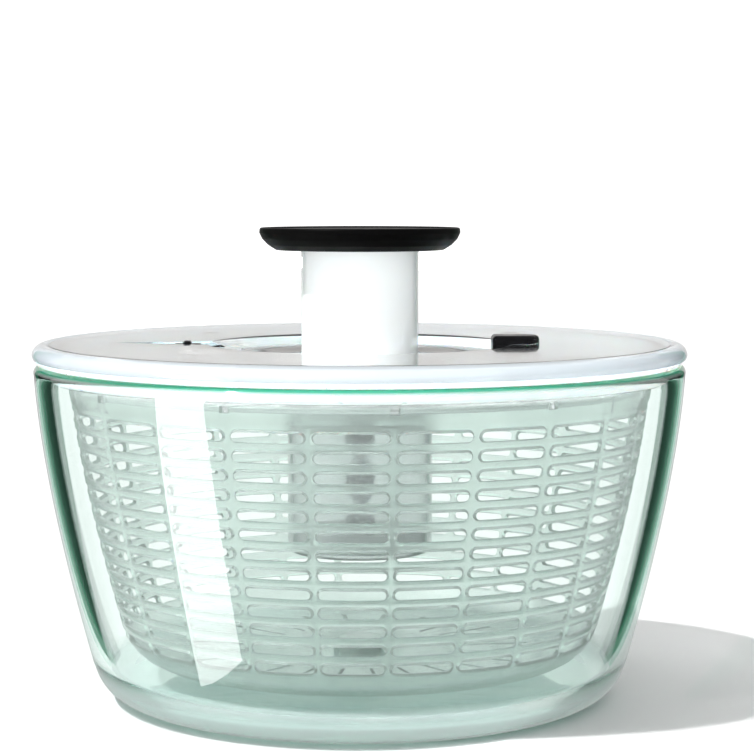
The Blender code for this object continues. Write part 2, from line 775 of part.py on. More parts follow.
def return_spring():
    bottom = SEAT_TOP_Z + GAP
    return coil("return_spring", SPRING_R, SPRING_WIRE, SPRING_TURNS, bottom, SPRING_TOP_Z, 10)


# Brake and lock ----------------------------------------------------------


def brake_button():
    button = plate("brake_button", [button_outline(0.0)], BRAKE_FLANGE_Z - 0.5, BRAKE_TOP_Z)
    flange = plate(
        "button_flange", [button_outline(BRAKE_FLANGE_WIDTH)], BRAKE_BOTTOM_Z, BRAKE_FLANGE_Z)
    join(button, flange)
    pocket = rod(
        "spring_pocket", BRAKE_POCKET_R, BRAKE_BOTTOM_Z - 1.0, BRAKE_POCKET_Z, sides=20, x=BRAKE_X)
    return cut(button, pocket)


def brake_stem():
    low = BRAKE_PAD_TOP_Z + GAP
    return rod("brake_stem", BRAKE_STEM_R, low, BRAKE_POCKET_Z - GAP, sides=16, x=BRAKE_X)


def brake_pad():
    return rod("brake_pad", BRAKE_PAD_R, BRAKE_PAD_BOTTOM_Z, BRAKE_PAD_TOP_Z, sides=16, x=BRAKE_X)


def brake_spring():
    return coil("brake_spring", 5.3, 0.6, 4, BASE_TOP_Z + GAP, BRAKE_POCKET_Z - GAP, 8, x=BRAKE_X)


def lock_tongue():
    half = TONGUE_HALF_WIDTH
    tongue = box(
        "lock_tongue", (TONGUE_TAIL_X, -half, TONGUE_BOTTOM_Z),
        (TONGUE_TIP_X, half, TONGUE_TOP_Z))
    stem_low = (LOCK_X - 1.6, -1.7, TONGUE_TOP_Z - 0.5)
    stem_high = (LOCK_X + 2.6, 1.7, LOCK_SOCKET_TOP_Z - GAP)
    return join(tongue, box("tongue_stem", stem_low, stem_high))


def lock_grip():
    """The tab that the thumb moves, standing on a foot in the channel."""
    foot_low = (LOCK_X - 5.5, -4.5, LOCK_FOOT_Z)
    foot = box("lock_grip", foot_low, (LOCK_X + 5.5, 4.5, LOCK_FOOT_TOP_Z))
    tab_low = (LOCK_X - 1.7, -3.0, LOCK_FOOT_TOP_Z - 1.0)
    join(foot, box("tab", tab_low, (LOCK_X + 1.7, 3.0, LOCK_TAB_TOP_Z)))
    socket_low = (LOCK_X - 1.9, -2.0, LOCK_FOOT_Z - 0.9)
    return cut(foot, box("stem_socket", socket_low, (LOCK_X + 2.9, 2.0, LOCK_SOCKET_TOP_Z)))


# Assembly ----------------------------------------------------------------


def build():
    glass = finish("glass", (0.86, 0.93, 0.90), 0.03, transmission=1.0)
    clear = finish("clear_plastic", (0.93, 0.94, 0.94), 0.12, transmission=0.9)
    white = finish("white_plastic", (0.90, 0.91, 0.90), 0.25)
    black = finish("black_plastic", (0.02, 0.02, 0.02), 0.40)
    soft_black = finish("soft_grip", (0.015, 0.015, 0.015), 0.50)
    silicone = finish("silicone", (0.88, 0.90, 0.90), 0.45)
    steel = finish("steel", (0.62, 0.62, 0.63), 0.30, metallic=1.0)

    bowl_body = body("bowl")
    place(glass_bowl(), bowl_body, glass)
    pivot_body = body("pivot")
    place(pivot_bush(), pivot_body, white)
    basket_body = body("basket")
    place(basket(), basket_body, clear)

    lid_body = body("lid")
    place(lid_cover(), lid_body, clear)
    place(lid_base(), lid_body, clear)
    place(rim_seal(), lid_body, silicone)
    place(guide_sleeve(), lid_body, white)
    place(bearing_ring(), lid_body, white)
    for piece in lid_screws():
        place(piece, lid_body, steel)

    drive_body = body("drive")
    place(drive_disc(), drive_body, clear)
    place(hub_cup(), drive_body, clear)
    place(ratchet_ring(), drive_body, white)
    for piece in cup_screws():
        place(piece, drive_body, steel)

    shaft_body = body("shaft")
    place(twist_shaft(), shaft_body, steel)
    place(spring_seat(), shaft_body, white)
    place(shaft_screw(), shaft_body, steel)
    place(clutch_hub(), shaft_body, white)

    plunger_body = body("plunger")
    place(plunger_tube(), plunger_body, white)
    place(drive_nut(), plunger_body, white)
    place(knob_core(), plunger_body, black)
    place(knob_grip(), plunger_body, soft_black)
    place(knob_top(), plunger_body, black)
    place(return_spring(), plunger_body, steel)

    brake_body = body("brake", BRAKE_X)
    place(brake_button(), brake_body, black)
    place(brake_stem(), brake_body, white)
    place(brake_pad(), brake_body, soft_black)
    place(brake_spring(), brake_body, steel)

    lock_body = body("lock", LOCK_X)
    place(lock_tongue(), lock_body, white)
    place(lock_grip(), lock_body, black)


clear_scene()
PARTS = new_collection("salad_spinner")
CUTTERS = new_collection("cutters")
build()
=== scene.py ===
"""Salad spinner: the visible surfaces, materials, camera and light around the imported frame.

Heights and radii are in millimetres, in the frame of the model, and become
metres where each mesh is made. Driving sizes come from the frame's own boxes.
"""
import math

import bmesh
import bpy
from mathutils import Matrix, Vector


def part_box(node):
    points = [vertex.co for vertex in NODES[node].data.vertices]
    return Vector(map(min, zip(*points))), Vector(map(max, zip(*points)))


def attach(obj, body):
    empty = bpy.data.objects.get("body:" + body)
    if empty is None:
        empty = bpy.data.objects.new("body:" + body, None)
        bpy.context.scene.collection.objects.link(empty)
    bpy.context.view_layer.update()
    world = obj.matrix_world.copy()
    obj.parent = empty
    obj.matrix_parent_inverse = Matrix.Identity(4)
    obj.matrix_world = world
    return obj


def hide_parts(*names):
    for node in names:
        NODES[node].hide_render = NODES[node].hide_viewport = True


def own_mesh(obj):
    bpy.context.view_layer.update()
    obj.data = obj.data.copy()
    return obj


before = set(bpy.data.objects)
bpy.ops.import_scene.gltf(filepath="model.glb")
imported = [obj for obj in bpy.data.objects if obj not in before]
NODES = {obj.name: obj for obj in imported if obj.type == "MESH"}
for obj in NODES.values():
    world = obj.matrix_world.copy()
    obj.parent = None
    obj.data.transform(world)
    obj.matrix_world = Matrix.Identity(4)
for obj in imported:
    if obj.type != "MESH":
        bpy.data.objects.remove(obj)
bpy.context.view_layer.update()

MM = 0.001


def top_mm(node):
    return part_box(node)[1].z / MM


def bottom_mm(node):
    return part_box(node)[0].z / MM


def radius_mm(node):
    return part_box(node)[1].x / MM


# Driving sizes, from the frame ---------------------------------------------

RIM_R = radius_mm("glass_bowl")
RIM_Z = top_mm("glass_bowl")
BASKET_TOP = top_mm("basket")
BASKET_FLOOR = bottom_mm("basket")
TUBE_R = radius_mm("plunger_tube")
TUBE_TOP = top_mm("plunger_tube")
TUBE_BOTTOM = bottom_mm("plunger_tube")
KNOB_R = radius_mm("knob_grip")
KNOB_TOP = top_mm("knob_grip")
BASE_TOP = bottom_mm("lid_cover") - 0.3
BASE_BOTTOM = top_mm("bearing_ring") + 0.3

# Shapes that repeat the model's own formulas -------------------------------

BOWL_LEAN = 0.0197
BOWL_LEAN_POWER = 1.467
BOWL_WALL = 6.5
FLOOR_Z = 8.0
RIB_COUNT = 24
FIRST_RIB_DEG = 6.0
CELL_HALF = 180.0 / RIB_COUNT       # half the angle from one rib to the next
ROUND_STEPS = 160
PLUNGER_TRAVEL = 42.0
BRAKE_TRAVEL = 3.0

# Helpers -------------------------------------------------------------------


def remove_startup_objects():
    for name in ("Cube", "Light", "Camera"):
        old = bpy.data.objects.get(name)
        if old is not None and name not in NODES:
            bpy.data.objects.remove(old, do_unlink=True)


def link(obj):
    bpy.context.scene.collection.objects.link(obj)
    return obj


def arc(centre_r, centre_z, radius, first_deg, last_deg, count):
    points = []
    for step in range(count + 1):
        angle = math.radians(first_deg + (last_deg - first_deg) * step / count)
        points.append((centre_r + radius * math.cos(angle), centre_z + radius * math.sin(angle)))
    return points


def fillet(corners, steps=4):
    """Rounds each corner (radius, z, rounding) of a closed outline that has a rounding."""
    points = []
    count = len(corners)
    for index, (radius, z, rounding) in enumerate(corners):
        here = Vector((radius, z))
        if not rounding:
            points.append((radius, z))
            continue
        before = Vector(corners[index - 1][:2]) - here
        after = Vector(corners[(index + 1) % count][:2]) - here
        half = before.angle(after) / 2
        reach = min(rounding / math.tan(half), before.length * 0.49, after.length * 0.49)
        start = before.normalized() * reach
        end = after.normalized() * reach
        centre = (start + end) / (2 * math.cos(half) ** 2)
        sweep = (start - centre).angle(end - centre)
        for step in range(steps + 1):
            share = step / steps
            first = math.sin((1 - share) * sweep) / math.sin(sweep)
            second = math.sin(share * sweep) / math.sin(sweep)
            point = here + centre + (start - centre) * first + (end - centre) * second
            points.append((point.x, point.y))
    return points


def finish_mesh(name, bm, crisp=35):
    """Makes the object, smooth except where its faces meet at more than the crisp angle."""
    bmesh.ops.remove_doubles(bm, verts=bm.verts, dist=0.000001)
    mesh = bpy.data.meshes.new(name)
    bm.to_mesh(mesh)
    bm.free()
    mesh.shade_smooth()
    mesh.set_sharp_from_angle(angle=math.radians(crisp))
    return link(bpy.data.objects.new(name, mesh))


def lathe(name, profile, steps=ROUND_STEPS, ring=True, crisp=35, x=0.0, y=0.0):
    """Turns a profile about an upright axis; a ring's profile closes on itself."""
    bm = bmesh.new()
    verts = [bm.verts.new((radius * MM, 0.0, z * MM)) for radius, z in profile]
    edges = [bm.edges.new(pair) for pair in zip(verts, verts[1:])]
    if ring:
        edges.append(bm.edges.new((verts[-1], verts[0])))
    bmesh.ops.spin(
        bm, geom=verts + edges, cent=(0, 0, 0), axis=(0, 0, 1), angle=2 * math.pi,
        steps=steps, use_merge=True)
    bmesh.ops.remove_doubles(bm, verts=bm.verts, dist=0.000001)
    bmesh.ops.recalc_face_normals(bm, faces=bm.faces)
    bmesh.ops.translate(bm, vec=(x * MM, y * MM, 0.0), verts=bm.verts)
    return finish_mesh(name, bm, crisp)


def slab(name, outline, bottom, top, crisp=35):
    """A flat outline made solid between two heights."""
    bm = bmesh.new()
    face = bm.faces.new([bm.verts.new((x * MM, y * MM, bottom * MM)) for x, y in outline])
    made = bmesh.ops.extrude_face_region(bm, geom=[face])
    moved = [item for item in made["geom"] if isinstance(item, bmesh.types.BMVert)]
    bmesh.ops.translate(bm, vec=(0.0, 0.0, (top - bottom) * MM), verts=moved)
    bmesh.ops.recalc_face_normals(bm, faces=bm.faces)
    return finish_mesh(name, bm, crisp)


def block(name, low, high):
    outline = [(low[0], low[1]), (high[0], low[1]), (high[0], high[1]), (low[0], high[1])]
    return slab(name, outline, low[2], high[2])


def polar(radius, degrees):
    angle = math.radians(degrees)
    return (radius * math.cos(angle), radius * math.sin(angle))


def circle(radius, count, x=0.0, y=0.0):
    return [(x + radius * math.cos(2 * math.pi * step / count),
             y + radius * math.sin(2 * math.pi * step / count)) for step in range(count)]


def boolean(obj, other, operation):
    """Applies a Boolean and removes the tool."""
    step = obj.modifiers.new("step", "BOOLEAN")
    step.operation = operation
    step.solver = "EXACT"
    step.object = other
    apply_modifiers(obj)
    bpy.data.objects.remove(other, do_unlink=True)
    return obj


def apply_modifiers(obj):
    graph = bpy.context.evaluated_depsgraph_get()
    baked = bpy.data.meshes.new_from_object(obj.evaluated_get(graph))
    old = obj.data
    obj.modifiers.clear()
    obj.data = baked
    bpy.data.meshes.remove(old)


def crispen(obj, degrees=35):
    obj.data.shade_smooth()
    obj.data.set_sharp_from_angle(angle=math.radians(degrees))
    return obj


def bevelled(obj, width, segments=3, crisp=50):
    step = obj.modifiers.new("bevel", "BEVEL")
    step.width = width * MM
    step.segments = segments
    step.limit_method = "ANGLE"
    step.angle_limit = math.radians(crisp)
    apply_modifiers(obj)
    return crispen(obj, 30)


def coil(name, radius, wire, turns, bottom, top, x=0.0, closed_ends=0.12):
    """A compression spring whose end turns lie flat, as a mesh."""
    curve = bpy.data.curves.new(name, "CURVE")
    curve.dimensions = "3D"
    curve.bevel_depth = wire / 2 * MM
    curve.bevel_resolution = 4
    curve.use_fill_caps = True
    count = turns * 28
    spline = curve.splines.new("POLY")
    spline.points.add(count)
    low = bottom + wire / 2
    rise = top - bottom - wire
    for step, point in enumerate(spline.points):
        share = step / count
        angle = 2 * math.pi * turns * share
        lift = min(max((share - closed_ends) / (1 - 2 * closed_ends), 0.0), 1.0)
        height = low + wire * 0.5 * share + (rise - wire * 0.5) * (0.04 * share + 0.96 * lift)
        point.co = (
            (x + radius * math.cos(angle)) * MM, radius * math.sin(angle) * MM, height * MM, 1.0)
    source = link(bpy.data.objects.new(name + "_path", curve))
    graph = bpy.context.evaluated_depsgraph_get()
    mesh = bpy.data.meshes.new_from_object(source.evaluated_get(graph))
    bpy.data.objects.remove(source, do_unlink=True)
    made = link(bpy.data.objects.new(name, mesh))
    return crispen(made, 50)


def wear(obj, body, look, slot_name, *nodes):
    """Gives a piece its material and its body, and hides the nodes it stands for; slot_name is not used."""
    obj.data.materials.clear()
    obj.data.materials.append(look)
    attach(obj, body)
    if nodes:
        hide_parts(*nodes)
    return obj


# Materials -----------------------------------------------------------------


def principled(name, colour, roughness, **values):
    look = bpy.data.materials.new(name)
    look.use_nodes = True
    shader = look.node_tree.nodes["Principled BSDF"]
    shader.inputs["Base Color"].default_value = (*colour, 1.0)
    shader.inputs["Roughness"].default_value = roughness
    for key, value in values.items():
        shader.inputs[key.replace("_", " ")].default_value = value
    return look


def noise(look, scale, detail=3.0, stretch=(1.0, 1.0, 1.0)):
    """A noise texture fixed to the piece."""
    tree = look.node_tree
    where = tree.nodes.new("ShaderNodeTexCoord")
    mapping = tree.nodes.new("ShaderNodeMapping")
    mapping.inputs["Scale"].default_value = stretch
    texture = tree.nodes.new("ShaderNodeTexNoise")
    texture.inputs["Scale"].default_value = scale
    texture.inputs["Detail"].default_value = detail
    tree.links.new(where.outputs["Object"], mapping.inputs["Vector"])
    tree.links.new(mapping.outputs["Vector"], texture.inputs["Vector"])
    return texture


def bump(look, scale, height_mm, detail=3.0, stretch=(1.0, 1.0, 1.0)):
    tree = look.node_tree
    texture = noise(look, scale, detail, stretch)
    node = tree.nodes.new("ShaderNodeBump")
    node.inputs["Strength"].default_value = 1.0
    node.inputs["Distance"].default_value = height_mm * MM
    tree.links.new(texture.outputs["Fac"], node.inputs["Height"])
    tree.links.new(node.outputs["Normal"], tree.nodes["Principled BSDF"].inputs["Normal"])


def vary(look, socket, scale, low, high, detail=3.0, stretch=(1.0, 1.0, 1.0)):
    """Drives a number of the shader between two values with noise."""
    tree = look.node_tree
    texture = noise(look, scale, detail, stretch)
    spread = tree.nodes.new("ShaderNodeMapRange")
    spread.inputs["From Min"].default_value = 0.3
    spread.inputs["From Max"].default_value = 0.7
    spread.inputs["To Min"].default_value = low
    spread.inputs["To Max"].default_value = high
    tree.links.new(texture.outputs["Fac"], spread.inputs["Value"])
    tree.links.new(spread.outputs["Result"], tree.nodes["Principled BSDF"].inputs[socket])


def absorb(look, colour, density):
    """Tints what passes through the inside of a clear piece."""
    tree = look.node_tree
    volume = tree.nodes.new("ShaderNodeVolumeAbsorption")
    volume.inputs["Color"].default_value = (*colour, 1.0)
    volume.inputs["Density"].default_value = density
    tree.links.new(volume.outputs["Volume"], tree.nodes["Material Output"].inputs["Volume"])


def milky_outside(look, start_mm, end_mm, colour, transmission):
    """Turns a clear look milky from one radius to another, as moulded plastic over a seal is."""
    tree = look.node_tree
    where = tree.nodes.new("ShaderNodeTexCoord")
    flat = tree.nodes.new("ShaderNodeVectorMath")
    flat.operation = "MULTIPLY"
    flat.inputs[1].default_value = (1.0, 1.0, 0.0)
    length = tree.nodes.new("ShaderNodeVectorMath")
    length.operation = "LENGTH"
    tree.links.new(where.outputs["Object"], flat.inputs[0])
    tree.links.new(flat.outputs["Vector"], length.inputs[0])
    share = tree.nodes.new("ShaderNodeMapRange")
    share.inputs["From Min"].default_value = start_mm * MM
    share.inputs["From Max"].default_value = end_mm * MM
    tree.links.new(length.outputs["Value"], share.inputs["Value"])
    blend_shader_values(look, share.outputs["Result"], colour, transmission)


def blend_by_height(look, start_mm, end_mm, colour, transmission):
    """Moves a clear look towards another tone from one height to another."""
    tree = look.node_tree
    where = tree.nodes.new("ShaderNodeTexCoord")
    split = tree.nodes.new("ShaderNodeSeparateXYZ")
    tree.links.new(where.outputs["Object"], split.inputs["Vector"])
    share = tree.nodes.new("ShaderNodeMapRange")
    share.inputs["From Min"].default_value = start_mm * MM
    share.inputs["From Max"].default_value = end_mm * MM
    tree.links.new(split.outputs["Z"], share.inputs["Value"])
    blend_shader_values(look, share.outputs["Result"], colour, transmission)


def blend_shader_values(look, share, colour, transmission):
    """Moves the base colour and the transmission to new values as the share goes to 1."""
    blend_socket(look, "Base Color", "RGBA", share, (*colour, 1.0))
    blend_socket(look, "Transmission Weight", "FLOAT", share, transmission)


def blend_socket(look, socket, kind, share, value):
    """Mixes what already drives a socket with a new value."""
    tree = look.node_tree
    target = tree.nodes["Principled BSDF"].inputs[socket]
    mix = tree.nodes.new("ShaderNodeMix")
    mix.data_type = kind
    first, second, result = (6, 7, 2) if kind == "RGBA" else (2, 3, 0)
    if target.is_linked:
        tree.links.new(target.links[0].from_socket, mix.inputs[first])
    else:
        mix.inputs[first].default_value = target.default_value
    mix.inputs[second].default_value = value
    tree.links.new(share, mix.inputs[0])
    tree.links.new(mix.outputs[result], target)


def make_looks():
    looks = {}
    glass = principled(
        "bowl_glass", (1.0, 1.0, 1.0), 0.0, IOR=1.50, Transmission_Weight=1.0)
    absorb(glass, (0.46, 0.90, 0.76), 17.0)
    bump(glass, 9.0, 0.05, detail=1.0)
    # Painted shade: the rounded rim is painted dark green and less clear, for the dark line the thick rim
    # shows in the light.
    blend_by_height(glass, RIM_Z - 2.8, RIM_Z - 1.0, (0.012, 0.27, 0.15), 0.36)
    # Painted light: the thick base is painted pale and milky, for the light that comes up through it.
    blend_by_height(glass, 17.0, 9.0, (0.76, 0.82, 0.82), 0.64)
    # Painted shade: a green line is painted along the bottom edge of the base.
    blend_by_height(glass, 2.2, 0.4, (0.46, 0.74, 0.64), 0.64)
    looks["glass"] = glass

    lid = principled(
        "lid_clear", (0.97, 0.98, 0.98), 0.03, IOR=1.49, Transmission_Weight=1.0)
    absorb(lid, (0.80, 0.92, 0.93), 6.0)
    vary(lid, "Roughness", 14.0, 0.02, 0.07, stretch=(1.0, 0.25, 1.0))
    bump(lid, 7.0, 0.04, detail=1.0)
    looks["lid"] = lid

    cover = lid.copy()
    cover.name = "cover_clear"
    milky_outside(cover, 130.5, 133.0, (0.60, 0.65, 0.685), 0.35)
    looks["cover"] = cover

    frosted = principled(
        "basket_clear", (0.80, 0.875, 0.845), 0.18, IOR=1.47, Transmission_Weight=0.90)
    vary(frosted, "Roughness", 60.0, 0.12, 0.26)
    bump(frosted, 220.0, 0.03)
    looks["basket"] = frosted

    drive = principled(
        "drive_clear", (0.93, 0.95, 0.95), 0.12, IOR=1.47, Transmission_Weight=0.88)
    vary(drive, "Roughness", 50.0, 0.08, 0.20)
    bump(drive, 160.0, 0.02)
    looks["drive"] = drive

    white = principled(
        "tube_white", (0.90, 0.91, 0.90), 0.14, Coat_Weight=0.35, Coat_Roughness=0.05,
        Subsurface_Weight=0.08)
    vary(white, "Roughness", 40.0, 0.12, 0.20, stretch=(1.0, 1.0, 0.2))
    bump(white, 300.0, 0.004)
    looks["white"] = white

    inner = principled("inner_white", (0.86, 0.87, 0.86), 0.32)
    vary(inner, "Roughness", 80.0, 0.26, 0.40)
    bump(inner, 500.0, 0.01)
    looks["inner_white"] = inner

    grip = principled(
        "grip_black", (0.002, 0.002, 0.002), 0.42, Specular_IOR_Level=0.04)
    vary(grip, "Roughness", 90.0, 0.36, 0.50)
    bump(grip, 900.0, 0.012)
    looks["grip"] = grip

    black = principled(
        "button_black", (0.003, 0.003, 0.004), 0.22, Specular_IOR_Level=0.18)
    vary(black, "Roughness", 120.0, 0.16, 0.30)
    bump(black, 700.0, 0.008)
    looks["black"] = black

    seal = principled(
        "seal_silicone", (0.93, 0.96, 0.97), 0.30, Transmission_Weight=0.35,
        Subsurface_Weight=0.3, IOR=1.41)
    vary(seal, "Roughness", 60.0, 0.24, 0.40)
    bump(seal, 400.0, 0.01)
    looks["seal"] = seal

    steel = principled("steel_bright", (0.66, 0.66, 0.67), 0.22, Metallic=1.0)
    vary(steel, "Roughness", 200.0, 0.16, 0.32, stretch=(1.0, 1.0, 12.0))
    bump(steel, 900.0, 0.004, stretch=(1.0, 1.0, 10.0))
    looks["steel"] = steel
    return looks


# Bowl ----------------------------------------------------------------------


def bowl_radius(z):
    return RIM_R - BOWL_LEAN * max(RIM_Z - z, 0.0) ** BOWL_LEAN_POWER


def glass_bowl(looks):
    """Pressed glass: curved wall, round bottom corner, a boss with a pip in the middle."""
    corner = 18.0
    foot_r = 94.5
    wall_low = corner * (1 - math.sin(math.radians(15)))
    inner_corner = 15.0
    inner_low = FLOOR_Z + inner_corner * 0.8
    inner_foot = bowl_radius(inner_low) - BOWL_WALL - inner_corner * 0.98
    samples = 40
    wall_rise = RIM_Z - 4.0 - wall_low
    heights = [wall_low + wall_rise * step / samples for step in range(samples + 1)]
    inner_heights = [z for z in heights if z > inner_low + 1.5]
    rim = BOWL_WALL / 2
    profile = arc(0.0, 11.0, 5.0, 90, 12, 8)
    boss = [(5.4, 12.0, 0.0), (12.4, 12.0, 2.0), (15.8, FLOOR_Z, 1.5), (40.0, FLOOR_Z, 0.0)]
    profile += fillet(boss)[:-1]
    profile += arc(inner_foot, FLOOR_Z + inner_corner, inner_corner, -90, -12, 12)
    profile += [(bowl_radius(z) - BOWL_WALL, z) for z in inner_heights]
    profile += arc(RIM_R - rim, RIM_Z - rim, rim, 180, 0, 14)
    profile += [(bowl_radius(z), z) for z in reversed(heights[1:])]
    profile += arc(foot_r, corner, corner, -15, -84, 14)
    profile += [(foot_r - 2.0, 0.0), (60.0, 0.0), (0.0, 0.0)]
    bowl = lathe("bowl_glass", profile, ring=False, crisp=60)
    wear(bowl, "bowl", looks["glass"], "glass", "glass_bowl")
    bowl.visible_shadow = False         # clear glass lets the light through to the floor


def pivot_bush(looks):
    top = top_mm("pivot_bush")
    low = bottom_mm("pivot_bush")
    outer = radius_mm("pivot_bush")
    corners = [
        (0.0, top, 0.0), (outer, top, 1.2), (outer, low, 0.4), (5.3, low, 0.3),
        (5.3, low + 4.0, 1.5), (0.0, low + 4.0, 0.0)]
    bush = lathe("bush_white", fillet(corners), steps=64, ring=False)
    wear(bush, "bowl", looks["inner_white"], "white_plastic", "pivot_bush")


# Basket --------------------------------------------------------------------

SLOT_ROWS = 13
TOP_SLOT_Z = 120.2
SLOT_PITCH = 7.5
SLOT_HALF = 1.8
SLOT_HALF_DEG = 6.65
SLOT_ROUND_DEG = 0.9
RIB_EDGE_DEG = 6.6                  # a rib reaches from here to the cell's edge
RIM_LOOP = 0.55                     # width of the raised lip round each slot
LIP_RELIEF = 0.22


def basket_radius(z):
    return bowl_radius(z) - 14.2 - 0.023 * (BASKET_TOP - z)


def basket_line():
    """The basket's outer line from the rim to the floor's edge, as closely spaced points."""
    corner = 20.0
    flat_r = 81.1
    join_z = BASKET_FLOOR + corner * (1 - math.sin(math.radians(15)))
    heights = [BASKET_TOP - (BASKET_TOP - join_z) * step / 60 for step in range(61)]
    points = [(basket_radius(z), z) for z in heights]
    points += arc(flat_r, BASKET_FLOOR + corner, corner, -18, -90, 14)
    return [Vector(point) for point in points]


def measured(line):
    """Distances along a line, one for each of its points."""
    reach = [0.0]
    for first, second in zip(line, line[1:]):
        reach.append(reach[-1] + (second - first).length)
    return reach


class Wall:
    """Maps (angle, distance down the outer line, relief) to a point in metres."""

    def __init__(self, line):
        self.line = line
        self.reach = measured(line)

    def at(self, degrees, distance, relief=0.0):
        index = 0
        while index < len(self.line) - 2 and self.reach[index + 1] < distance:
            index += 1
        first, second = self.line[index], self.line[index + 1]
        share = (distance - self.reach[index]) / (self.reach[index + 1] - self.reach[index])
        point = first.lerp(second, share)
        along = (second - first).normalized()
        out = Vector((-along.y, along.x))
        point = point + out * relief
        x, y = polar(point.x, degrees)
        return Vector((x * MM, y * MM, point.y * MM))

    def distance_at(self, z):
        for index in range(len(self.line) - 1):
            first, second = self.line[index], self.line[index + 1]
            if first.y >= z > second.y:
                share = (first.y - z) / (first.y - second.y)
                return self.reach[index] + share * (self.reach[index + 1] - self.reach[index])
        return self.reach[-1]


def slot_loops():
    """One cell's loops as (angle, side, height): hole, lip and border, 24 points each.

    side is -1 below and 1 above the slot's middle, or between them for the
    cell's upright borders; the height of the hole and lip is in millimetres.
    """
    hole, lip, border = [], [], []
    inner = SLOT_HALF_DEG - SLOT_ROUND_DEG
    for end in (1, -1):
        for step in range(9):
            turn = end * (-90 + 22.5 * step)
            wave = math.cos(math.radians(turn)) * SLOT_ROUND_DEG
            lift = math.sin(math.radians(turn)) * SLOT_HALF
            grow = 1 + RIM_LOOP / SLOT_HALF
            hole.append((end * (inner + wave), lift))
            lip.append((end * (inner + wave * grow), lift * grow))
            if abs(turn) > 44:
                spread = (90 - abs(turn)) / 45
                border.append((end * (inner + (CELL_HALF - inner) * spread), math.copysign(1.0, turn)))
            else:
                border.append((end * CELL_HALF, turn / 45))
        for step in (1, 2, 3):
            across = end * inner * (1 - step / 2)
            hole.append((across, end * SLOT_HALF))
            lip.append((across, end * SLOT_HALF * (1 + RIM_LOOP / SLOT_HALF)))
            border.append((across, float(end)))
    return hole, lip, border


def basket_shell():
    """The outer skin: rows of slot cells with a plain band above and a floor below."""
    wall = Wall(basket_line())
    middles = [wall.distance_at(TOP_SLOT_Z - row * SLOT_PITCH) for row in range(SLOT_ROWS)]
    half = SLOT_PITCH / 2
    edges = [middles[0] - half] + [
        (first + second) / 2 for first, second in zip(middles, middles[1:])] + [middles[-1] + half]
    hole, lip, border = slot_loops()
    bm = bmesh.new()

    def vert(degrees, distance, relief):
        return bm.verts.new(wall.at(degrees, distance, relief))

    rib_degs = [FIRST_RIB_DEG + 360.0 * rib / RIB_COUNT for rib in range(RIB_COUNT)]
    for rib in rib_degs:
        centre = rib + CELL_HALF
        for row, middle in enumerate(middles):
            above, below = middle - edges[row], edges[row + 1] - middle
            rings = []
            rings.append([vert(centre + x, middle - y, -0.12) for x, y in hole])
            rings.append([vert(centre + x, middle - y, LIP_RELIEF) for x, y in lip])
            outer = []
            for x, side in border:
                span = above if side > 0 else below
                outer.append(vert(centre + x, middle - side * span, 0.0))
            rings.append(outer)
            count = len(hole)
            for inside, outside in zip(rings, rings[1:]):
                for index in range(count):
                    after = (index + 1) % count
                    bm.faces.new((inside[index], outside[index], outside[after], inside[after]))
    columns = sorted({round(x, 4) for x, side in border if abs(side) == 1.0})
    band = [(0.0, 0.3), (0.8, 0.45), (3.0, 0.45), (6.4, 0.35), (7.2, 0.0), (edges[0], 0.0)]
    for number, rib in enumerate(rib_degs):
        centre = rib + CELL_HALF
        for row, (upper, lower) in enumerate(zip(band, band[1:])):
            for left, right in zip(columns, columns[1:]):
                is_rib = min(abs(left), abs(right)) > RIB_EDGE_DEG
                notched = (number % 2 == 0) if left < 0 else (number % 2 == 1)
                if is_rib and notched and lower[0] <= 3.0:
                    continue
                corners = []
                for x, (distance, relief) in ((left, upper), (left, lower), (right, lower), (right, upper)):
                    ridge = 0.35 if abs(abs(x) - 6.625) < 0.1 else 0.0
                    corners.append(vert(centre + x, distance, relief + ridge * (relief > 0)))
                bm.faces.new(corners)
    last = wall.reach[-1]
    floor_rows = [(edges[-1] + (last - edges[-1]) * step / 5) for step in range(6)]
    for rib in rib_degs:
        centre = rib + CELL_HALF
        for upper, lower in zip(floor_rows, floor_rows[1:]):
            for left, right in zip(columns, columns[1:]):
                bm.faces.new([
                    vert(centre + left, upper, 0.0), vert(centre + left, lower, 0.0),
                    vert(centre + right, lower, 0.0), vert(centre + right, upper, 0.0)])
    bmesh.ops.remove_doubles(bm, verts=bm.verts, dist=0.00002)
    return bm, columns, rib_degs


def basket_floor(bm, columns, rib_degs):
    """The flat floor with its drain slits, and the raised hat over the pivot bush."""
    flat_r, slit_out, slit_in = 81.1, 72.0, 42.0
    hat = [(13.0, BASKET_FLOOR), (10.4, BASKET_FLOOR), (9.6, BASKET_FLOOR + 0.8),
           (9.6, BASKET_FLOOR + 4.0), (8.8, BASKET_FLOOR + 4.8), (0.0, BASKET_FLOOR + 4.8)]
    rings = [(flat_r, BASKET_FLOOR), (slit_out, BASKET_FLOOR), (slit_in, BASKET_FLOOR)] + hat
    for rib in rib_degs:
        centre = rib + CELL_HALF
        for row, (outer, inner) in enumerate(zip(rings, rings[1:])):
            for left, right in zip(columns, columns[1:]):
                is_rib = min(abs(left), abs(right)) > RIB_EDGE_DEG
                if row == 1 and is_rib:
                    continue
                corners = []
                for x, (radius, z) in ((left, outer), (left, inner), (right, inner), (right, outer)):
                    place = polar(radius, centre + x)
                    corners.append(bm.verts.new((place[0] * MM, place[1] * MM, z * MM)))
                bm.faces.new(corners)
    bmesh.ops.remove_doubles(bm, verts=bm.verts, dist=0.00002)


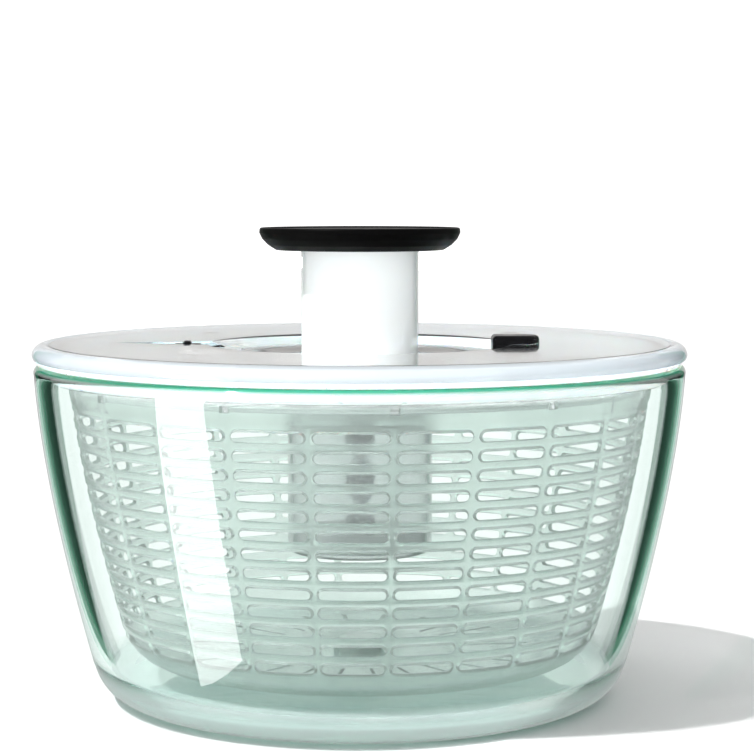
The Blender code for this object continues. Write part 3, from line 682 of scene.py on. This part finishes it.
def basket(looks):
    bm, columns, rib_degs = basket_shell()
    basket_floor(bm, columns, rib_degs)
    bmesh.ops.dissolve_degenerate(bm, edges=bm.edges, dist=0.000001)
    bmesh.ops.recalc_face_normals(bm, faces=bm.faces)
    sample = max(bm.faces, key=lambda face: face.calc_center_median().z)
    middle = sample.calc_center_median()
    if sample.normal.dot(Vector((middle.x, middle.y, 0.0))) < 0:
        bmesh.ops.reverse_faces(bm, faces=bm.faces)
    shell = finish_mesh("basket_slotted", bm, 40)
    wall = shell.modifiers.new("wall", "SOLIDIFY")
    wall.thickness = 1.8 * MM
    wall.offset = -1.0
    apply_modifiers(shell)
    crispen(shell, 42)
    wear(shell, "basket", looks["basket"], "clear_plastic", "basket")


# Lid -----------------------------------------------------------------------

WELL_EDGE_R = 64.0
WELL_EDGE_Z = 147.0
LID_RISE = 0.7
WELL_FLOOR_R = 56.0
WELL_FLOOR_Z = 143.2
LID_WALL = 2.2
LID_TOP_EDGE_R = 132.0
LID_LIP_Z = 143.2
LID_EDGE_Z = 141.5
TUBE_HOLE_R = 25.3
CHANNEL_FLOOR_Z = 144.5
SCREW_R = 95.0
BRAKE_X = 66.0
CUT_BELOW_LID = 137.0               # cutting tools start and end clear of the cover
CUT_ABOVE_LID = 153.0


def dome_z(radius):
    """Height of the lid's top face, which rises a little from the well to the edge."""
    span = (radius - WELL_EDGE_R) / (LID_TOP_EDGE_R - WELL_EDGE_R)
    return WELL_EDGE_Z + LID_RISE * span ** 2


def channel_outline(margin):
    """Pointed channel from the well to its tip, its sides slightly bowed."""
    half, tip, mouth = 11.0, -101.0, -50.0
    upper = []
    for step in range(13):
        share = step / 12
        x = -62.0 + (tip + 62.0) * share
        upper.append((x - margin * share, 0.7 + (half - 0.7) * (1 - share) ** 1.15 + margin))
    outline = [(mouth, -half - margin), (mouth, half + margin)] + upper
    outline += arc(tip - margin, 0.0, 0.7 + margin, 120, 240, 6)
    outline += [(x, -y) for x, y in reversed(upper)]
    return outline


def button_outline(margin, corner=2.2):
    """Brake button: a straight inner end with soft corners and a round outer end."""
    half = 8.0 + margin
    inner = 55.4 - margin
    points = arc(67.5, 0.0, half, -90, 90, 24)
    points += arc(inner + corner, half - corner, corner, 90, 180, 6)
    points += arc(inner + corner, corner - half, corner, 180, 270, 6)
    return points


def screw_places(radius, count, first):
    return [polar(radius, first + 360.0 * index / count) for index in range(count)]


def lid_cover(looks):
    under_z = WELL_EDGE_Z - LID_WALL
    floor_under = WELL_FLOOR_Z - 2.0
    corners = [(TUBE_HOLE_R, WELL_FLOOR_Z, 0.6), (WELL_FLOOR_R, WELL_FLOOR_Z, 2.5),
               (WELL_EDGE_R, WELL_EDGE_Z, 1.6)]
    domes = [70.0, 80.0, 90.0, 100.0, 110.0, 120.0, 127.0]
    corners += [(radius, dome_z(radius), 0.0) for radius in domes]
    groove_r, groove_half = 129.8, 0.45
    corners += [
        (groove_r - groove_half, dome_z(groove_r), 0.15), (groove_r, dome_z(groove_r) - 0.5, 0.1),
        (groove_r + groove_half, dome_z(groove_r), 0.15)]
    corners += [(r, z, 0.0) for r, z in arc(LID_TOP_EDGE_R, LID_LIP_Z, 4.5, 90, 0, 10)]
    corners += [(RIM_R, LID_EDGE_Z, 0.6), (RIM_R - LID_WALL, LID_EDGE_Z, 0.5)]
    corners += [(r, z, 0.0) for r, z in arc(LID_TOP_EDGE_R, LID_LIP_Z, 2.3, 0, 90, 6)]
    corners += [(radius, dome_z(radius) - LID_WALL, 0.0) for radius in reversed(domes)]
    corners += [(WELL_EDGE_R + 0.9, under_z, 1.0), (WELL_FLOOR_R + 1.2, floor_under, 1.5),
                (TUBE_HOLE_R, floor_under, 0.5)]
    cover = lathe("cover_clear", fillet(corners), steps=144)
    pan_top = under_z + 0.9
    boolean(cover, slab("pan", channel_outline(2.0), CHANNEL_FLOOR_Z - 2.0, pan_top), "UNION")
    for x, y in screw_places(SCREW_R, 4, 45.0):
        boss_line = [
            (0.0, pan_top), (4.0, pan_top), (4.0, BASE_TOP + 0.3), (1.6, BASE_TOP + 0.3),
            (1.6, 143.6), (0.0, 143.6)]
        boss = lathe("boss", boss_line, steps=28, ring=False, x=x, y=y)
        boolean(cover, boss, "UNION")
    boolean(cover, slab("channel", channel_outline(0.0), CHANNEL_FLOOR_Z, CUT_ABOVE_LID), "DIFFERENCE")
    opening = slab("opening", button_outline(0.4, 2.6), CUT_BELOW_LID, CUT_ABOVE_LID)
    boolean(cover, opening, "DIFFERENCE")
    slot_low, slot_high = (-74.6, -2.1, 140.0), (-65.4, 2.1, 146.0)
    boolean(cover, block("slot", slot_low, slot_high), "DIFFERENCE")
    crispen(cover, 32)
    wear(cover, "lid", looks["cover"], "clear_plastic", "lid_cover")
    cover.visible_shadow = False        # clear plastic lets the light through to the seal


def lid_base(looks):
    """Plate under the cover, with the skirt that centres the lid."""
    skirt_low = bottom_mm("lid_base")
    skirt_top = top_mm("lid_base")
    skirt_r = radius_mm("lid_base")
    plate_low = BASE_BOTTOM
    corners = [
        (30.0, BASE_TOP, 0.4), (skirt_r - 2.0, BASE_TOP, 1.0), (skirt_r - 2.0, skirt_top, 0.5),
        (skirt_r, skirt_top, 0.5), (skirt_r, skirt_low, 0.6), (skirt_r - 2.0, skirt_low, 0.5),
        (skirt_r - 2.0, plate_low, 0.5), (30.0, plate_low, 0.4)]
    base = lathe("base_plate_clear", fillet(corners), steps=128)
    for x, y in screw_places(SCREW_R, 4, 45.0):
        boolean(base, slab("hole", circle(1.5, 20, x, y), 130.0, 140.0), "DIFFERENCE")
    boolean(base, slab("hole", circle(4.6, 32, BRAKE_X, 0.0), 130.0, 140.0), "DIFFERENCE")
    crispen(base, 32)
    wear(base, "lid", looks["lid"], "clear_plastic", "lid_base")
    base.visible_shadow = False


def rim_seal(looks):
    top = top_mm("rim_seal")
    low = bottom_mm("rim_seal")
    lip = radius_mm("lid_base") + 0.3
    under = RIM_Z + 0.3
    corners = [
        (lip, top, 0.2), (RIM_R - 0.5, top, 0.4), (RIM_R - 1.0, (top + under) / 2, 0.5),
        (RIM_R - 1.4, under, 0.4), (lip + 1.6, under, 0.6), (lip + 1.6, low + 1.0, 0.5),
        (lip + 0.4, low, 0.2), (lip, low, 0.1)]
    seal = wear(lathe("seal_ring", fillet(corners)), "lid", looks["seal"], "silicone", "rim_seal")
    seal.visible_shadow = False


def guide_sleeve(looks):
    top, low = top_mm("guide_sleeve"), bottom_mm("guide_sleeve")
    inner, outer, flange, hook = 25.1, 26.9, 36.0, 28.1
    seat = BASE_TOP + 0.3
    corners = [
        (inner, top, 0.4), (outer, top, 0.4), (outer, seat + 2.0, 0.8), (flange, seat + 2.0, 0.4),
        (flange, seat, 0.4), (outer, seat, 0.0), (outer, low + 2.5, 0.3), (hook, low + 2.5, 0.3),
        (hook, low, 0.5), (inner, low, 0.4)]
    sleeve = lathe("sleeve_white", fillet(corners), steps=96)
    window = block("window", (-28.0, -4.6, seat + 2.01), (-23.0, 4.6, top + 1.0))
    boolean(sleeve, window, "DIFFERENCE")
    wear(crispen(sleeve), "lid", looks["inner_white"], "white_plastic", "guide_sleeve")


def bearing_ring(looks):
    top, low = top_mm("bearing_ring"), bottom_mm("bearing_ring")
    corners = [(31.0, top, 0.4), (36.0, top, 0.4), (36.0, low, 0.4), (31.0, low, 0.4)]
    ring = lathe("slip_ring", fillet(corners), steps=96)
    wear(ring, "lid", looks["inner_white"], "white_plastic", "bearing_ring")


def screw_piece(name, node, body, looks, upward=False):
    """A pan-head screw with a cross recess, in the place of the frame's own."""
    low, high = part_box(node)
    x, y = (low.x + high.x) / 2 / MM, (low.y + high.y) / 2 / MM
    head_r = (high.x - low.x) / 2 / MM
    bottom, top = low.z / MM, high.z / MM
    shank = head_r * 0.36
    corners = [
        (0.0, top, 0.0), (shank, top - 0.8, 0.1), (shank, bottom + 1.5, 0.0),
        (head_r, bottom + 1.5, 0.1), (head_r, bottom + 0.9, 0.3), (head_r * 0.7, bottom, 0.5),
        (0.0, bottom, 0.0)]
    if upward:
        corners = [(r, top + bottom - z, f) for r, z, f in reversed(corners)]
    made = lathe(name, fillet(corners, 3), steps=28, ring=False, x=x, y=y)
    face = top if upward else bottom
    arm, half = head_r * 0.55, head_r * 0.12
    for long_x in (True, False):
        reach = (arm, half) if long_x else (half, arm)
        recess = block("recess", (x - reach[0], y - reach[1], face - 0.8),
                       (x + reach[0], y + reach[1], face + 0.8))
        boolean(made, recess, "DIFFERENCE")
    wear(crispen(made), body, looks["steel"], "steel", node)


# Drive ---------------------------------------------------------------------


def drive_disc(looks):
    """Disc with a turned-down edge ring and lugs that sit in the basket's notches."""
    top, low = top_mm("drive_disc"), bottom_mm("drive_disc")
    edge = 118.7
    corners = [
        (27.5, top, 0.4), (edge, top, 0.7), (edge, low, 0.4), (edge - 6.0, low, 0.4),
        (edge - 6.6, low + 0.5, 0.3), (44.0, low + 0.5, 0.3), (43.4, low, 0.3), (27.5, low, 0.4)]
    disc = lathe("disc_clear", fillet(corners), steps=144)
    for lug in range(RIB_COUNT // 2):
        middle = FIRST_RIB_DEG + 30.0 * lug
        inner = [polar(edge - 3.0, middle - 0.58), polar(edge - 3.0, middle + 0.58)]
        outer = [polar(121.0, middle + 0.5), polar(121.0, middle - 0.5)]
        made = slab("lug", [inner[0], outer[1], outer[0], inner[1]], low + 0.02, top - 0.02)
        boolean(disc, made, "UNION")
    for x, y in screw_places(34.0, 3, 30.0):
        boolean(disc, slab("hole", circle(1.3, 16, x, y), low - 2.0, top + 2.0), "DIFFERENCE")
    wear(crispen(disc), "drive", looks["drive"], "clear_plastic", "drive_disc")


def hub_cup(looks):
    top, low = top_mm("hub_cup"), bottom_mm("hub_cup")
    floor, lip_z = low + 2.0, bottom_mm("guide_sleeve") + 3.0
    corners = [
        (0.0, floor, 0.0), (28.5, floor, 1.0), (28.5, lip_z, 0.3), (27.3, lip_z, 0.3),
        (27.3, top, 0.4), (38.0, top, 0.4), (38.0, top - 2.0, 0.5), (30.5, top - 2.0, 1.2),
        (30.5, low, 2.2), (0.0, low, 0.0)]
    cup = lathe("hub_clear", fillet(corners), steps=96, ring=False)
    for x, y in screw_places(34.0, 3, 30.0):
        boolean(cup, slab("hole", circle(1.3, 16, x, y), top - 4.0, top + 1.0), "DIFFERENCE")
    wear(crispen(cup), "drive", looks["drive"], "clear_plastic", "hub_cup")


def inner_pieces(looks):
    """Pieces whose modelled shape is already right get their material only."""
    kept = dict.fromkeys(
        ("ratchet_ring", "clutch_hub", "spring_seat", "drive_nut", "lock_tongue"), "inner_white")
    kept["twist_shaft"] = "steel"
    for node, look in kept.items():
        NODES[node].data.materials.clear()
        NODES[node].data.materials.append(looks[look])


# Plunger -------------------------------------------------------------------


def plunger_tube(looks):
    inner = TUBE_R - 3.0
    corners = [
        (inner, TUBE_TOP, 0.3), (TUBE_R, TUBE_TOP, 0.3), (TUBE_R, TUBE_BOTTOM, 0.8),
        (inner, TUBE_BOTTOM, 0.6)]
    tube = lathe("tube_white", fillet(corners), steps=128)
    notch = block("notch", (-TUBE_R - 1.0, -6.0, 178.3), (-TUBE_R + 2.1, 6.0, 183.3))
    boolean(tube, notch, "DIFFERENCE")
    wear(crispen(tube, 30), "plunger", looks["white"], "white_plastic", "plunger_tube")


def knob(looks):
    core_top, core_low = top_mm("knob_core"), bottom_mm("knob_core")
    core_r = radius_mm("knob_core")
    spigot = TUBE_R - 3.3
    shoulder = TUBE_TOP + 0.3
    core = [
        (0.0, core_top, 0.0), (core_r, core_top, 0.4), (core_r, shoulder, 0.4),
        (spigot, shoulder, 0.0), (spigot, core_low, 0.6), (0.0, core_low, 0.0)]
    made = lathe("core_black", fillet(core), steps=96, ring=False)
    wear(made, "plunger", looks["black"], "black_plastic", "knob_core")

    face = top_mm("knob_top")
    cap_low = bottom_mm("knob_top")
    cap = [(0.0, face, 0.0), (core_r, face, 0.5), (core_r, cap_low, 0.2), (0.0, cap_low, 0.0)]
    made = lathe("cap_black", fillet(cap), steps=96, ring=False)
    wear(made, "plunger", looks["grip"], "black_plastic", "knob_top")

    low = bottom_mm("knob_grip")
    pocket, hole = core_r + 0.3, TUBE_R + 0.4
    grip = [
        (pocket, face, 0.3), (KNOB_R - 2.6, face, 0.3), (KNOB_R - 1.8, KNOB_TOP, 0.5),
        (KNOB_R - 0.2, KNOB_TOP, 1.0), (KNOB_R + 0.05, 193.4, 1.6), (KNOB_R - 1.2, 190.8, 3.0),
        (KNOB_R - 3.6, 188.3, 3.0), (KNOB_R - 7.0, low + 0.15, 2.0), (hole, low, 0.2),
        (hole, TUBE_TOP, 0.1), (pocket, TUBE_TOP, 0.1)]
    made = lathe("grip_black", fillet(grip, 6), crisp=45)
    wear(made, "plunger", looks["grip"], "soft_grip", "knob_grip")


def springs(looks):
    low, top, travel = bottom_mm("return_spring") - 0.35, top_mm("return_spring"), PLUNGER_TRAVEL
    made = coil("return_spring_wire", 12.0, 1.4, 8, low, top + 0.2)
    wear(made, "plunger", looks["steel"], "steel", "return_spring")
    squeeze(made)
    low, top, travel = BASE_TOP + 0.3, top_mm("brake_spring"), BRAKE_TRAVEL
    made = coil("brake_spring_wire", 5.3, 0.6, 5, low, top, x=BRAKE_X)
    wear(made, "brake", looks["steel"], "steel", "brake_spring")
    squeeze(made)


def squeeze(piece):
    """Gives a spring its own copy of its mesh."""
    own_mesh(piece)


# Brake and lock ------------------------------------------------------------


def brake(looks):
    top, low = top_mm("brake_button"), bottom_mm("brake_button")
    flange = low + 1.4
    button = slab("button_black", button_outline(0.0), flange - 0.6, top)
    bevelled(button, 1.9, 5)
    boolean(button, slab("flange", button_outline(1.2, 3.0), low, flange), "UNION")
    boolean(button, slab("pocket", circle(7.0, 40, BRAKE_X, 0.0), low - 1.0, 147.5), "DIFFERENCE")
    wear(crispen(button, 40), "brake", looks["black"], "black_plastic", "brake_button")

    stem_top, stem_low = top_mm("brake_stem"), bottom_mm("brake_stem")
    corners = [
        (0.0, stem_top, 0.0), (3.6, stem_top, 0.4), (3.6, stem_low, 0.5), (0.0, stem_low, 0.0)]
    stem = lathe("stem_white", fillet(corners), steps=40, ring=False, x=BRAKE_X)
    wear(stem, "brake", looks["inner_white"], "white_plastic", "brake_stem")

    pad_top, pad_low = top_mm("brake_pad"), bottom_mm("brake_pad")
    corners = [(0.0, pad_top, 0.0), (4.2, pad_top, 0.2), (4.2, pad_low, 0.4), (0.0, pad_low, 0.0)]
    pad = lathe("pad_black", fillet(corners), steps=40, ring=False, x=BRAKE_X)
    wear(pad, "brake", looks["grip"], "soft_grip", "brake_pad")


def lock_grip(looks):
    low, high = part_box("lock_grip")
    x_low, x_high = low.x / MM, high.x / MM
    bottom, top = low.z / MM, high.z / MM
    middle = (x_low + x_high) / 2
    foot = block("lock_black", (x_low, -4.5, bottom), (x_high, 4.5, bottom + 1.9))
    bevelled(foot, 0.5, 3)
    tab = block("tab", (middle - 1.7, -3.0, bottom + 1.0), (middle + 1.7, 3.0, top))
    bevelled(tab, 0.9, 4)
    boolean(foot, tab, "UNION")
    socket = block("socket", (middle - 1.9, -2.0, bottom - 1.0), (middle + 2.9, 2.0, bottom + 1.85))
    boolean(foot, socket, "DIFFERENCE")
    wear(crispen(foot, 40), "lock", looks["black"], "black_plastic", "lock_grip")


# Studio --------------------------------------------------------------------


CAMERA_PLACE = (0.0, -0.915, 0.210)
CAMERA_TILT_DEG = 4.86              # down from the horizon
CAMERA_TURN_DEG = -0.45
LENS_MM = 103.81
GREEN_DEG = (21.0, 29.0)            # directions that the glass wall's two edge bands, painted shade from the cards, look out to
DARK_DEG = (29.0, 46.0)
CARD_HEIGHT = 450.0
SUN_DIRECTION = (0.50, 0.25, -0.80)
FILL_DIRECTION = (0.05, 1.0, 0.02)


def camera():
    data = bpy.data.cameras.new("camera")
    data.sensor_width = 36.0
    data.lens = LENS_MM
    data.clip_start = 0.05
    data.clip_end = 60.0
    obj = link(bpy.data.objects.new("camera", data))
    obj.location = CAMERA_PLACE
    obj.rotation_euler = (
        math.radians(90 - CAMERA_TILT_DEG), 0.0, math.radians(CAMERA_TURN_DEG))
    bpy.context.scene.camera = obj


def strip_light():
    """Tall light on the left, seen only in reflections, as the white streak in the glass.

    Its corners lie where the streak's corners reflect to, about a metre from the
    bowl. That is below the floor's level, and the floor is left out of reflections.
    """
    top_left, top_right = Vector((-1.023, -0.387, -0.029)), Vector((-0.864, -0.692, -0.025))
    low_left, low_right = Vector((-0.862, -0.279, -0.544)), Vector((-0.674, -0.577, -0.589))
    across = (top_right - top_left + low_right - low_left) / 2
    upward = (top_left + top_right - low_left - low_right) / 2
    away = across.cross(upward).normalized()
    side = upward.cross(away).normalized()
    data = bpy.data.lights.new("strip", "AREA")
    data.shape = "RECTANGLE"
    data.size, data.size_y = across.length, upward.length
    data.energy = 8.0 * math.pi * across.length * upward.length
    obj = link(bpy.data.objects.new("strip", data))
    turn = Matrix((side, upward.normalized(), away)).transposed()
    middle = (top_left + top_right + low_left + low_right) / 4
    obj.matrix_world = Matrix.Translation(middle) @ turn.to_4x4()
    obj.visible_camera = False
    obj.visible_diffuse = False
    obj.visible_transmission = False
    return obj


def plane(name, place, target, size, look):
    """A flat stage card that faces a point."""
    bm = bmesh.new()
    bmesh.ops.create_grid(bm, x_segments=1, y_segments=1, size=0.5)
    bmesh.ops.scale(bm, vec=(size[0], size[1], 1.0), verts=bm.verts)
    obj = finish_mesh(name, bm)
    obj.data.materials.append(look)
    obj.location = place
    obj.rotation_euler = (Vector(target) - Vector(place)).to_track_quat("Z", "Y").to_euler()
    return obj


def hide_from(obj, *rays):
    for ray in rays:
        setattr(obj, "visible_" + ray, False)


def glow(name, colour, strength):
    look = bpy.data.materials.new(name)
    look.use_nodes = True
    tree = look.node_tree
    tree.nodes.remove(tree.nodes["Principled BSDF"])
    shader = tree.nodes.new("ShaderNodeEmission")
    shader.inputs["Color"].default_value = (*colour, 1.0)
    shader.inputs["Strength"].default_value = strength
    tree.links.new(shader.outputs["Emission"], tree.nodes["Material Output"].inputs["Surface"])
    return look


def wedge(side, first, last):
    """Ends of the direction range that the thick of the glass wall looks out to, behind it."""
    edge, front = 124.0, -45.0
    ends = []
    for reach in (30.0, 700.0):
        ends.append([
            (side * (edge + reach * math.sin(math.radians(turn))),
             front + reach * math.cos(math.radians(turn))) for turn in (first, last)])
    return ends


def table_light():
    """Pale light that comes up through the bowl's thick base, bluer in places."""
    look = glow("table_white", (1.0, 1.0, 1.0), 1.05)
    tree = look.node_tree
    texture = noise(look, 16.0, 1.0)
    ramp = tree.nodes.new("ShaderNodeValToRGB")
    ramp.color_ramp.elements[0].position = 0.42
    ramp.color_ramp.elements[0].color = (0.58, 0.68, 0.68, 1.0)
    ramp.color_ramp.elements[1].position = 0.62
    ramp.color_ramp.elements[1].color = (1.0, 1.0, 0.97, 1.0)
    tree.links.new(texture.outputs["Fac"], ramp.inputs["Fac"])
    tree.links.new(ramp.outputs["Color"], tree.nodes["Emission"].inputs["Color"])
    return look


def world_light():
    world = bpy.data.worlds.new("studio")
    world.use_nodes = True
    background = world.node_tree.nodes["Background"]
    background.inputs["Color"].default_value = (1.0, 1.0, 1.0, 1.0)
    background.inputs["Strength"].default_value = 0.54
    bpy.context.scene.world = world


def floor_and_backdrop():
    floor_look = principled("floor_white", (0.76, 0.76, 0.76), 0.6)
    floor = plane("floor", (0.0, 0.0, -0.0006), (0.0, 0.0, 1.0), (24.0, 24.0), floor_look)
    floor.visible_glossy = False
    wall_look = glow("backdrop_white", (1, 1, 1), 1.35)
    wall = plane("backdrop", (0.0, 5.0, 2.4), (0.0, 0.0, 2.4), (16.0, 5.0), wall_look)
    hide_from(wall, "shadow", "glossy")


def glass_edge_cards(green, dark):
    """Upright cards and floor patches behind the bowl, seen only by reflection or refraction."""
    # The cards' dark and green glow is painted shade, which the glass shows as its edge bands.
    for side in (-1, 1):
        for name, look, (first, last) in (("green", green, GREEN_DEG), ("dark", dark, DARK_DEG)):
            near, far = wedge(side, first, last)
            outside = [(x * 1.01, y * 1.01) for x, y in reversed(far)]
            card = slab(f"{name}_card_{side + 1}", far + outside, 0.0, CARD_HEIGHT)
            patch = slab(f"{name}_patch_{side + 1}", near + list(reversed(far)), 0.2, 0.3)
            for piece in (card, patch):
                piece.data.materials.append(look)
                hide_from(piece, "camera", "diffuse", "shadow")


def lid_sheen():
    """Warm card behind the scene, seen only in reflections and chiefly in the lid's."""
    look = glow("sheen_warm", (0.69, 0.672, 0.66), 1.0)
    sheen = plane("lid_sheen", (0.0, 4.9, 1.4), (0.0, 0.0, 1.4), (16.0, 3.0), look)
    hide_from(sheen, "camera", "diffuse", "shadow", "transmission")


def foot_shade(look):
    """Ring under the bowl's edge that is never seen and only casts a contact shadow."""
    outline = [(60.0, 1.0), (105.0, 1.0), (105.0, 3.0), (60.0, 3.0)]
    foot = lathe("foot_shade", outline, steps=96)
    foot.data.materials.append(look)
    hide_from(foot, "camera", "diffuse", "glossy", "transmission")


def table_glow():
    """Disc under the bowl that is seen only through the glass."""
    card = slab("table_glow", circle(113.0, 64), -0.4, -0.3)
    card.data.materials.append(table_light())
    hide_from(card, "camera", "diffuse", "shadow", "glossy")


def key_and_fill():
    sun = bpy.data.lights.new("key", "SUN")
    sun.energy = 3.2
    sun.angle = math.radians(2.5)
    key = link(bpy.data.objects.new("key", sun))
    key.rotation_euler = Vector(SUN_DIRECTION).to_track_quat("-Z", "Y").to_euler()

    fill = bpy.data.lights.new("fill", "AREA")
    fill.shape = "RECTANGLE"
    fill.size, fill.size_y = 1.4, 0.25
    fill.energy = 20.0
    front = link(bpy.data.objects.new("fill", fill))
    front.location = (-0.1, -1.7, 0.16)
    front.rotation_euler = Vector(FILL_DIRECTION).to_track_quat("-Z", "Y").to_euler()
    hide_from(front, "camera", "glossy", "transmission")


def studio():
    world_light()
    floor_and_backdrop()
    # Painted shade: near-black and green glowing cards for the glass's edge bands.
    dark = glow("card_dark", (0.022, 0.045, 0.034), 1.0)
    green = glow("card_green", (0.05, 0.22, 0.13), 1.0)
    glass_edge_cards(green, dark)
    lid_sheen()
    foot_shade(dark)
    table_glow()
    key_and_fill()
    strip_light()


def render_setup():
    scene = bpy.context.scene
    scene.view_settings.view_transform = "Standard"
    scene.cycles.max_bounces = 28
    scene.cycles.transmission_bounces = 28
    scene.cycles.transparent_max_bounces = 16
    scene.cycles.glossy_bounces = 8


# Assembly ------------------------------------------------------------------

remove_startup_objects()
looks = make_looks()
camera()
studio()
render_setup()
glass_bowl(looks)
pivot_bush(looks)
basket(looks)
lid_cover(looks)
lid_base(looks)
rim_seal(looks)
guide_sleeve(looks)
bearing_ring(looks)
for number in range(1, 5):
    screw_piece(f"lid_screw_steel_{number}", f"lid_screw_{number}", "lid", looks)
for number in range(1, 4):
    screw_piece(f"hub_screw_steel_{number}", f"hub_screw_{number}", "drive", looks)
screw_piece("shaft_screw_steel", "shaft_screw", "shaft", looks, upward=True)
drive_disc(looks)
hub_cup(looks)
inner_pieces(looks)
plunger_tube(looks)
knob(looks)
springs(looks)
brake(looks)
lock_grip(looks)
